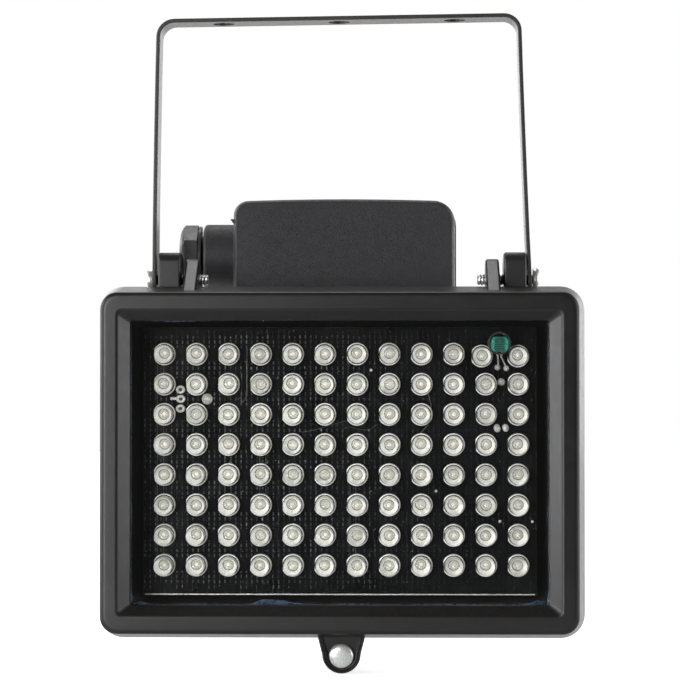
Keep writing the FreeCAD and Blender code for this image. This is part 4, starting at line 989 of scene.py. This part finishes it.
# Opaque white for the flange's rim: a painted highlight, not a colour of the resin.
flange_rim_painted_highlight = mottled(
    "flange_rim_painted_highlight", [(236, 238, 235), (254, 254, 252)], (0.8, 3.0, 0.6), Roughness=0.2, Coat_Weight=0.6,
    Coat_Roughness=0.05
)
new_piece("ir_led_emitters", emitters, [
    clear_resin, silvered(), dull_metal("cup_floor", (168, 167, 158), (206, 205, 198)), flange_rim_painted_highlight,
    # The darker grey of the cup's ring is a painted shade.
    dull_metal("cup_groove_painted_shade", (96, 98, 94), (138, 140, 136)),
], ["ir_leds"], crease=50)


# Light sensor: a round ceramic cell with a teal face and a dark winding track, on two tinned
# leads that splay to their pads; a short black sleeve shades it.
SENSOR = (39.1, 0, 29.41)
CELL = (39.1, 29.15)


def sensor_ceramic():
    material, tree, shader = new_finish("sensor_ceramic", Coat_Weight=0.3, Coat_Roughness=0.1, Specular_IOR_Level=0.3)
    where = millimetres(tree)
    mottle = noise(tree, where, 1.6, 4.0, 0.6)
    across = maths(tree, "ABSOLUTE", maths(tree, "SUBTRACT", parts_of(tree, where)["X"], CELL[0]))
    colour = mix_colours(tree, span(tree, mottle, 0.35, 0.65), (3, 82, 72), (10, 108, 94))
    paler = times(tree, span(tree, across, 0.9, 1.7), span(tree, mottle, 0.4, 0.55))
    colour = mix_colours(tree, paler, colour, (36, 168, 146))
    colour = mix_colours(tree, span(tree, across, 1.95, 2.25), colour, (6, 80, 72))
    wire(tree, shader, Base_Color=colour, Roughness=span(tree, mottle, 0.3, 0.7, 0.35, 0.5))
    bump(tree, shader, mottle, 0.2, 0.00005)
    return material


def sensor_track():
    material, tree, shader = new_finish("sensor_track", Roughness=0.5, Specular_IOR_Level=0.3)
    mottle = noise(tree, millimetres(tree), 4.0, 3.0, 0.6)
    wire(tree, shader, Base_Color=mix_colours(tree, mottle, (2, 44, 40), (6, 66, 60)))
    return material


cell = skin(bmesh.new(), [
    laid([(CELL[0] + a, CELL[1] + max(-flat, min(flat, b))) for a, b in wheel(48, radius, math.pi / 48)], "y", depth)
    for depth, radius, flat in (
        (14.0, 2.2, 1.75), (13.9, 2.34, 1.86), (12.15, 2.36, 1.88), (12.02, 2.28, 1.8), (12.0, 2.1, 1.65)
    )
])
for number in range(5):
    level = CELL[1] + 0.58 * (2 - number)
    plate(cell, slab(CELL[0] - 1.2, CELL[0] + 1.2, level - 0.11, level + 0.11), 12.02, 11.97, finish=1)
    if number < 4:
        end = CELL[0] + (1.12 if number % 2 else -1.12)
        plate(cell, slab(end - 0.1, end + 0.1, level - 0.58, level), 12.02, 11.968, finish=1)
for side in (-1, 1):
    stops = [Vector(stop) for stop in (
        (39.1 + side * 0.95, 13.9, 27.7), (39.1 + side * 0.38, 14.9, 26.2), (39.75 + side * 0.8, 17.9, 24.3),
        (39.85 + side * 1.1, 18.6, 23.4),
    )]
    rings = []
    for k in range(13):
        first = min(2, k // 4)
        point = stops[first].lerp(stops[first + 1], k / 4 - first)
        rings.append([(point.x + a, point.y + b * 0.8, point.z + b * 0.6) for a, b in wheel(10, 0.2)])
    skin(cell, rings, finish=2)
new_piece("light_sensor_cell", cell, [sensor_ceramic(), sensor_track(), solder], ["light_sensor"])


def moulded(name, low, high, gloss, grain, relief, wear, dust=0.1):
    """Black moulded plastic with a spark-eroded grain."""
    material, tree, shader = new_finish(name, Specular_IOR_Level=0.45)
    coat = place_group(tree, COAT_TEXTURE, Grain=grain, Speck=1.0)
    sheen_and_wear = place_group(tree, EDGE_SHEEN_AND_WEAR, Width=0.0003, Spread=wear)["Mask"]
    dusty = place_group(tree, SETTLED_DUST, Amount=dust)["Mask"]
    colour = mix_colours(tree, span(tree, coat["Tone"], 0.35, 0.65), low, high)
    colour = mix_colours(tree, span(tree, coat["Height"], 0.7, 1.2), colour, [part * 1.35 for part in high])
    # Lighter edges: wear, and on the box, whose spread is wide, also a painted highlight along its front edge.
    colour = mix_colours(tree, dusty, mix_colours(tree, sheen_and_wear, colour, (100, 99, 98)), DUST)
    rough = span(tree, coat["Gloss"], 0.3, 0.7, gloss - 0.07, gloss + 0.08)
    rough = maths(tree, "SUBTRACT", rough, times(tree, sheen_and_wear, gloss * 0.6), clamp=True)
    wire(tree, shader, Base_Color=colour, Roughness=rough)
    bump(tree, shader, coat["Height"], relief, 0.00008)
    return material


def ring_piece(name, centre, axis, profile, steps, finish, replaced):
    """A piece that is one turned ring."""
    new_piece(name, turned(bmesh.new(), centre, axis, profile, steps, loop=True), [finish], [replaced])


sleeve_plastic = moulded("sleeve_plastic", (24, 24, 25), (32, 32, 33), 0.45, 4.0, 0.2, 0.2, 0.0)
ring_piece("sensor_sleeve_tube", SENSOR, "y", [
    (11.8, 2.45), (11.7, 2.55), (11.7, 2.75), (11.8, 2.85), (15.2, 2.85), (15.3, 2.75), (15.3, 2.5), (15.2, 2.45),
], 40, sleeve_plastic, "sensor_sleeve")


# Transistor and resistors behind the board: a flat moulded case on three pins, and two lacquered
# carbon-film resistors with colour bands on bent leads.
CASE_PLACE = (-40.5, 15.65)
PIN_PITCH = 2.3
case_profile = [(21.4, 2.9, 7.6), (21.7, 3.2, 8.0), (30.5, 3.2, 8.0), (30.9, 2.9, 7.6)]
transistor = stack(bmesh.new(), case_profile, 0.5, CASE_PLACE, 4)
for step in (-1, 0, 1):
    pin = (CASE_PLACE[0], CASE_PLACE[1] + PIN_PITCH * step)
    stack(transistor, [(20.2, 0.6, 0.6), (21.5, 0.6, 0.6)], 0.1, pin, 2, finish=1)
case_plastic = moulded("case_plastic", (28, 28, 29), (36, 36, 37), 0.5, 3.0, 0.3, 0.2, 0.0)
new_piece("driver_transistor_case", transistor, [case_plastic, solder], ["driver_transistor"])


def lacquer():
    """Beige lacquer with four bands across the body."""
    material, tree, shader = new_finish("resistor_lacquer", Coat_Weight=0.4)
    where = millimetres(tree)
    z = maths(tree, "ADD", parts_of(tree, where)["Z"], -LAMP_FACE[2])
    mottle = noise(tree, where, 2.0, 3.0)
    colour = mix_colours(tree, mottle, (196, 168, 120), (214, 188, 142))
    for level, tone in ((16.3, (120, 66, 30)), (14.9, (30, 28, 28)), (13.5, (168, 44, 34)), (12.1, (190, 146, 50))):
        distance = maths(tree, "ABSOLUTE", maths(tree, "SUBTRACT", z, level))
        colour = mix_colours(tree, maths(tree, "LESS_THAN", distance, 0.32), colour, tone)
    wire(tree, shader, Base_Color=colour, Roughness=span(tree, mottle, 0.3, 0.7, 0.3, 0.45))
    return material


resistors = bmesh.new()
for x in (38.6, 42.0):
    turned(resistors, (x, 21.35, 0), "z", [
        (11.05, 0.5), (11.15, 0.95), (11.5, 1.13), (12.3, 1.13), (12.7, 1.0), (15.7, 1.0), (16.1, 1.13),
        (16.9, 1.13), (17.25, 0.95), (17.35, 0.5),
    ], 20)
    for side in (-1, 1):
        end = 14.2 + side * 5.85
        rings = []
        for z, depth, bent in (
            (end, 20.2, 0), (end, 20.8, 0), (end - side * 0.15, 21.2, 0.5), (end - side * 0.55, 21.35, 1),
            (14.2 + side * 3.0, 21.35, 1),
        ):
            flat = bent * math.pi / 2
            rings.append([
                (x + a, depth + b * math.sin(flat), z + b * math.cos(flat) * side) for a, b in wheel(10, 0.3)
            ])
        skin(resistors, rings, finish=1)
new_piece("series_resistor_pair", resistors, [lacquer(), solder], ["series_resistors"])


# Wiring box: moulded black plastic with a fine grain, open at the back, with a round boss for
# the gland on its left side and a small nib above it. A foam seal and a lid with four screws
# close it, and two more screws hold it on the housing.
# The box's wide edge spread of 0.7 lightens its front edge all round: partly wear, partly a painted highlight.
box_plastic = moulded("box_plastic", (26, 26, 28), (36, 36, 38), 0.5, 2.4, 0.9, 0.7)
BOX_MIDDLE = 35.4
BOX_CORNERS = [(x, BOX_MIDDLE + z) for x in (-23.4, 23.4) for z in (-26.2, 26.2)]
GLAND = (0, 46.9, 52.3)


def box_rings(profile, crown=0.4):
    """Outlines of the box with a crowned top; each stop is (distance outside its wall, depth)."""
    return [
        rounded_ring(57.2 + 2 * more, 62.8 + 2 * more, (4.0 + more, 5.6 + more), depth, (0, BOX_MIDDLE), 8, crown)
        for more, depth in profile
    ]


box = skin(bmesh.new(), box_rings([
    (-1.2, 36.0), (-1.0, 36.02), (-0.82, 36.12), (-0.71, 36.3), (-0.36, 37.2), (-0.1, 38.6), (0.0, 40.5), (0.0, 57.2),
    (-0.25, 57.5), (-1.75, 57.5), (-2.0, 57.3), (-2.0, 38.6), (-2.5, 38.0),
]))
for corner in BOX_CORNERS:
    stack(box, [(38.0, 6.4, 6.4), (57.5, 6.4, 6.4)], 0.6, corner, 2)
boss_profile = [(-27.6, 8.75), (-35.6, 8.75), (-36.1, 8.6), (-36.4, 8.15), (-36.4, 5.45), (-27.6, 5.45)]
turned(box, GLAND, "x", boss_profile, 56, loop=True)
plate(box, [(-27.7, 60.1), (-27.7, 61.9), (-29.3, 61.9), (-28.5, 60.8)], 36.9, 38.5)
new_piece("junction_box_moulding", box, [box_plastic], ["junction_box"], crease=48)

seal = skin(bmesh.new(), box_rings(((-0.3, 57.5), (-0.3, 58.1), (-1.7, 58.1), (-1.7, 57.5)), crown=0.0), loop=True)
new_piece("box_seal_foam", seal, [foam_rubber], ["box_seal"], edge=0.1)

lid_profile = [(-0.2, 58.1), (0.4, 58.1), (0.65, 58.3), (0.65, 59.6)] + arc((-0.25, 59.6), 0.9, 18, 90, 4)
lid = skin(bmesh.new(), box_rings(lid_profile + [(-2.0, 60.5), (-2.4, 60.42), (-3.0, 60.42), (-3.4, 60.5)]))
new_piece("box_lid_moulding", lid, [box_plastic], ["box_lid"], crease=48)


def screw_set(name, replaced, places, levels, sizes, turn, step=0.0):
    """Pan-head screws; levels are seat, top and tip, sizes the radii of head and shank and the thread's depth."""
    seat, top, tip = levels
    head, shank, deep = sizes
    mesh = bmesh.new()
    for number, (x, z) in enumerate(places):
        add_part(mesh, pan_head((x, 0, z), "y", seat, top, head, turn + step * number))
        thread(mesh, (x, 0, z), "y", seat, tip, shank, deep, 0.8, 16)
    new_piece(name, mesh, [zinc], [replaced], crease=35)


screw_set("box_lid_screw_set", "box_lid_screws", BOX_CORNERS, (60.5, 62.1, 51.5), (2.38, 1.2, 0.25), 0.3, 0.8)
screw_set("box_screw_set", "box_screws", ((-15.0, 18.0), (15.0, 18.0)), (38.0, 39.8, 33.4), (2.78, 1.5, 0.3), 0.2)


# Leads and terminals: two jacketed leads from the board through a rubber grommet to a moulded
# terminal block, whose two plated screws hold their ends.
soft_black = soft_rubber("soft_black_rubber", (26, 26, 27), 3.0)
ring_piece("lead_grommet_ring", (0, 0, 18.0), "y", [
    (33.1, 3.3), (33.0, 3.5), (33.0, 4.2), (33.2, 4.38), (38.6, 4.38), (38.8, 4.2), (38.8, 3.4), (38.6, 3.2),
], 32, soft_black, "lead_grommet")


def lead_jacket():
    """One lead is red and the other black, both a little scuffed."""
    material, tree, shader = new_finish("lead_jacket", Specular_IOR_Level=0.4)
    where = millimetres(tree)
    scuff = noise(tree, where, 1.2, 4.0, 0.6)
    right_one = maths(tree, "GREATER_THAN", parts_of(tree, where)["X"], 0.0)
    colour = mix_colours(tree, right_one, (34, 33, 34), (168, 34, 30))
    colour = mix_colours(tree, span(tree, scuff, 0.55, 0.8), colour, (120, 110, 104))
    wire(tree, shader, Base_Color=colour, Roughness=span(tree, scuff, 0.3, 0.7, 0.4, 0.55))
    return material


leads = bmesh.new()
for side in (-1, 1):
    stops = [Vector(point) for point in (
        (side * 1.6, 20.2, 18.0), (side * 1.6, 41.5, 18.0), (side * 1.6, 45.5, 22.0), (side * 4.0, 45.5, 30.0),
        (side * 4.0, 45.5, 39.25),
    )]
    path = [stops[0]]
    for before, corner, after in zip(stops, stops[1:], stops[2:]):
        reach = min(2.2, (before - corner).length * 0.45, (after - corner).length * 0.45)
        start = corner + (before - corner).normalized() * reach
        end = corner + (after - corner).normalized() * reach
        path += [start.lerp(corner, t / 5).lerp(corner.lerp(end, t / 5), t / 5) for t in range(6)]
    path.append(stops[-1])
    rings = []
    for i, point in enumerate(path):
        way = (path[min(i + 1, len(path) - 1)] - path[max(i - 1, 0)]).normalized()
        right = (Vector((1, 0, 0)) - way * way.x).normalized()
        up = way.cross(right)
        rings.append([tuple(point + right * a + up * b) for a, b in wheel(14, 0.68)])
    skin(leads, rings)
new_piece("power_lead_pair", leads, [lead_jacket()], ["power_leads"])

TERMINALS = (-4.0, 4.0)
terminal = stack(bmesh.new(), [(38.0, 17.0, 9.5), (48.0, 17.0, 9.5), (48.5, 16.2, 8.7)], 0.5, (0, 44.0), 3)
wells = holes([((x, 0, 44.0), "y", 1.6, 45.5, 50.0) for x in TERMINALS])
for x in TERMINALS:
    turned(wells, (x, 45.5, 0), "z", [(38.0, 1.3), (41.5, 1.3)], 24)
terminal = cut_out(terminal, wells)
new_piece("terminal_block_moulding", terminal, [case_plastic], ["terminal_block"], edge=0.12)

slotted = bmesh.new()
for x in TERMINALS:
    head = turned(bmesh.new(), (x, 0, 44.0), "y", [(45.5, 1.5), (47.1, 1.52), (47.4, 1.4), (47.5, 1.1)], 24)
    add_part(slotted, cut_out(head, plate(bmesh.new(), slab(x - 2, x + 2, 43.75, 44.25), 46.9, 48.0)))
new_piece("terminal_screw_pair", slotted, [zinc], ["terminal_screws"], crease=35)


# Cable gland: a moulded tube through the boss, a thin washer, a six-sided compression nut and
# the rubber bush that grips a cable.
gland_plastic = moulded("gland_plastic", (32, 31, 33), (42, 41, 43), 0.36, 1.6, 0.25, 0.5)
ridges = [(-36.6 - 0.12 * k, 5.38 - (0.3 if k % 8 in (3, 4, 5) else 0.0)) for k in range(41)]
ring_piece(
    "gland_body_tube", GLAND, "x",
    [(-27.4, 3.95), (-27.4, 5.2), (-27.6, 5.38)] + ridges + [(-41.6, 5.1), (-41.6, 3.95)],
    40, gland_plastic, "gland_body"
)
ring_piece("gland_washer_ring", GLAND, "x", [
    (-37.0, 5.5), (-37.0, 8.1), (-37.1, 8.28), (-37.7, 8.28), (-37.8, 8.1), (-37.8, 5.5),
], 56, gland_plastic, "gland_washer")


def nut_ring(along, flats, corners):
    """A six-sided outline whose corners are turned down to a radius."""
    turns = [(2 * math.pi * k / 48 - math.pi / 6) % (math.pi / 3) - math.pi / 6 for k in range(48)]
    return circle(GLAND, "x", along, [min(flats / math.cos(turn), corners) for turn in turns], 48)


nut_outer = [nut_ring(*stop) for stop in (
    (-37.9, 7.35, 8.2), (-38.1, 7.5, 8.6), (-41.3, 7.5, 8.6), (-41.9, 7.35, 8.0), (-42.4, 6.9, 7.1),
    (-42.7, 6.1, 6.2), (-42.8, 5.2, 5.2),
)]
nut_inner = [
    circle(GLAND, "x", *stop, 48) for stop in ((-42.8, 3.6), (-42.6, 3.45), (-41.8, 3.45), (-41.8, 5.5), (-37.9, 5.5))
]
nut = skin(bmesh.new(), nut_outer + nut_inner, loop=True)
new_piece("gland_nut_moulding", nut, [gland_plastic], ["gland_nut"], crease=24)
ring_piece("gland_bush_sleeve", GLAND, "x", [
    (-37.2, 3.0), (-37.2, 3.7), (-37.5, 3.9), (-41.3, 3.9), (-41.6, 3.7), (-41.6, 3.3), (-41.3, 3.0),
], 40, soft_black, "gland_bush")


# Front frame: die-cast aluminium with a sloped window, a skirt over the housing's rim, two ears on
# the pivot screws and a U-shaped tab with a raised rim for the closing screw.
frame_coat = painted("frame_coat", (21, 20, 20), (27, 26, 26), (96, 93, 91), 0.34, 3.0, 0.16, 0.40, 0.05)
WINDOW_X = -0.4
frame_profile = eased([
    (120.3, 87.1, 6.05, 12.0, 0.15), (117.1, 83.5, 4.2, 0.5, 0.45), (115.4, 82.2, 3.7, 0.03, 0.6),
    (108.8, 74.7, 1.4, 0.0, 0.5), (102.8, 69.8, 0.9, 2.3, 0.12), (102.8, 69.8, 0.9, 6.0, 0.12),
    (108.2, 75.5, 0.9, 6.0, 0.0), (108.2, 75.5, 0.9, 9.4, 0.15), (115.1, 81.9, 3.47, 9.4, 0.15),
    (115.1, 81.9, 3.47, 12.0, 0.15),
])
frame = skin(bmesh.new(), [
    rounded_ring(*stop, (WINDOW_X * min(1.0, max(0.0, (12.0 - stop[3]) / 6.0)), 0)) for stop in frame_profile
], loop=True)


def tab_ring(moved, depth, top):
    """The tab's outline: straight tapering sides and a round end, a distance in from its edge."""
    half, radius, level = 6.3 - moved, 4.73 - moved, -47.0
    taper = [((half - radius) * k / 4, top + (level - top) * k / 4) for k in (0, 1, 2, 3)]
    left = [(-half + narrower, z) for narrower, z in taper]
    right = [(half - narrower, z) for narrower, z in reversed(taper)]
    return laid(left + arc((0, level), radius, 180, 360, 20) + right, "y", depth)


ROOT, RECESS_TOP = -41.0, -42.75
skin(frame, [tab_ring(*stop) for stop in (
    (0.35, 12.0, ROOT), (0.0, 11.6, ROOT), (0.0, 5.2, ROOT), (0.12, 4.85, ROOT), (0.34, 4.68, ROOT),
    (0.48, 4.66, ROOT), (0.56, 4.9, ROOT), (0.72, 5.0, ROOT), (0.86, 4.9, -41.6), (0.94, 4.64, -42.0),
    (1.16, 4.64, -42.4), (1.28, 4.75, -42.6), (1.42, 5.9, RECESS_TOP), (1.6, 6.0, RECESS_TOP - 0.1),
)])


def ear_outline():
    """A round end about the hinge, a tangent top edge and a curved foot on the frame's top."""
    centre, radius = HINGE[1:], 5.2
    slope, under = math.radians(30), math.radians(20)
    touch = (centre[0] - radius * math.sin(slope), centre[1] + radius * math.cos(slope))
    root_top = touch[1] - (touch[0] - 3.0) * math.tan(slope)
    start = math.degrees(math.atan2(touch[1] - centre[1], touch[0] - centre[0]))
    end = math.degrees(math.atan2(-math.cos(under), -math.sin(under)))
    return [(3.0, root_top)] + arc(centre, radius, start, end, 26) + [(12.0, 41.6), (3.0, 41.0)]


for low, high in ((-39.2, -35.8), (35.8, 39.2)):
    soft_plate(frame, ear_outline(), low, high, 0.6)
new_piece(
    "front_frame_casting", frame, [frame_coat], ["front_frame"], "front",
    crease=50, edge=0.45, rounds=3
)


# Glass sealant: neutral silicone, run in by hand between lip and pane, so the bead along the
# window's bottom is fuller and swells at the corners.
def bead_spread(x, z):
    """How far the bead comes in over the glass past the window's edge, at a place on it."""
    spread = 0.04
    if z < -34.0:
        spread = 0.13 + 0.07 * math.sin(x * 0.31) + 0.05 * math.sin(x * 0.93 + 1.0)
        spread += 0.8 * math.exp(-((x + 49.2) / 1.5) ** 2) + 0.95 * math.exp(-((x - 49.3) / 2.5) ** 2)
        spread += 1.05 / (1.0 + ((x + 16.7) / 3.9) ** 8) + 0.4 * math.exp(-((x + 10.6) / 1.3) ** 2)
    elif x < -50.5:
        spread = 0.05 + 0.02 * math.sin(z * 0.4) + 0.7 * math.exp(-((z + 35.0) / 2.0) ** 2)
    elif x > 50.5:
        spread = 0.06 + 0.03 * math.sin(z * 0.33) + 0.6 * math.exp(-((z + 35.0) / 2.0) ** 2)
    elif z > 34.0:
        spread = 0.02 + 0.22 * math.exp(-((x + 40.0) / 7.0) ** 2)
    return spread


def window_path(count_x, count_z):
    """Points round the window's edge: along its bottom and up its right side, then their mirror."""
    half_x, half_z = 51.4, 34.9
    path = [(-half_x + 2 * half_x * k / count_x, -half_z) for k in range(count_x)]
    path += [(half_x, -half_z + 2 * half_z * k / count_z) for k in range(count_z)]
    return path + [(-x, -z) for x, z in path]


def bead_rings():
    """The bead's section carried round the window, narrower and wider by turns."""
    path = window_path(90, 60)
    inward = [
        (-math.copysign(1, x) if abs(x) > 49.9 else 0.0, -math.copysign(1, z) if abs(z) > 33.6 else 0.0)
        for x, z in path
    ]
    wander = random.Random(7)
    jitter = [wander.uniform(0.8, 1.2) for _ in path]
    smooth = [sum(jitter[(i + k) % len(path)] for k in (-2, -1, 0, 1, 2)) / 5 for i in range(len(path))]
    rings = []
    section = ((-1.6, 6.38), (1.0, 6.38), (0.8, 6.12), (0.4, 5.8), (0.0, 5.62), (-0.02, 6.02), (-1.6, 6.02))
    for reach, depth in section:
        ring = []
        for (x, z), (way_x, way_z), uneven in zip(path, inward, smooth):
            spread = bead_spread(x, z) * uneven
            move = spread * reach if reach > 0 else reach
            lift = min(1.0, spread / 0.45)
            level = depth if reach <= -0.02 or depth > 6.3 else 6.36 - (6.36 - depth) * lift
            ring.append((x + WINDOW_X + way_x * move, level, z + way_z * move))
        rings.append(ring)
    return rings


bead = skin(bmesh.new(), bead_rings(), loop=True)
skin(bead, [rounded_ring(*stop) for stop in (
    (106.15, 73.45, 4.0, 6.45), (106.15, 73.45, 4.0, 8.2), (108.1, 75.4, 0.9, 8.2), (108.1, 75.4, 0.9, 6.02),
    (106.15, 73.45, 4.0, 6.02),
)], loop=True)
new_piece("glass_sealant_bead", bead, [silicone], ["glass_sealant"], "front", crease=80)


# Glass pane: flat float glass with ground edges, bedded in the silicone behind the frame's lip.
# A thin film and a few specks dull it a little.
window_glass = open_to_shadows(mottled(
    "window_glass", [(255, 254, 252), (250, 251, 248)], (0.06, 4.0, 0.65), (0.35, 0.7), grain=(2.4, 5.0, 0.7),
    rough=(0.68, 0.8, 0.0, 0.12), Transmission_Weight=1.0, IOR=1.50
), Color=(0.96, 0.957, 0.95, 1))
pane = stack(bmesh.new(), [(6.4, 105.6, 72.9), (6.6, 106.0, 73.3), (9.2, 106.0, 73.3), (9.4, 105.6, 72.9)], 4.0)
new_piece("glass_pane_sheet", pane, [window_glass], ["glass_pane"], "front", crease=20)


# Closing screw: a zinc-plated machine screw with a broad, shallow pan head that has a short slot
# at each side; it stays in the tab and reaches into the housing's boss.
head = turned(bmesh.new(), BOSS, "y", [
    (6.0, 2.85), (5.9, 3.0), (5.2, 3.05), (4.75, 3.0), (4.45, 2.85), (4.25, 2.55), (4.12, 2.1), (4.04, 1.5),
    (4.01, 0.8), (4.0, 0.3),
], 48)
slots = bmesh.new()
for low, high in ((-2.5, -1.35), (1.35, 2.5)):
    plate(slots, swung(slab(low, high, -0.24, 0.24), math.radians(17), (BOSS[0], BOSS[2])), 3.5, 4.75)
closing = cut_out(head, slots)
thread(closing, BOSS, "y", 6.0, 15.0, 1.5, 0.26, 0.7)
new_piece("closing_screw_threaded", closing, [zinc], ["closing_screw"], "front", crease=35)


# Last settings: colours are shown as they are.
bpy.context.scene.view_settings.view_transform = "Standard"
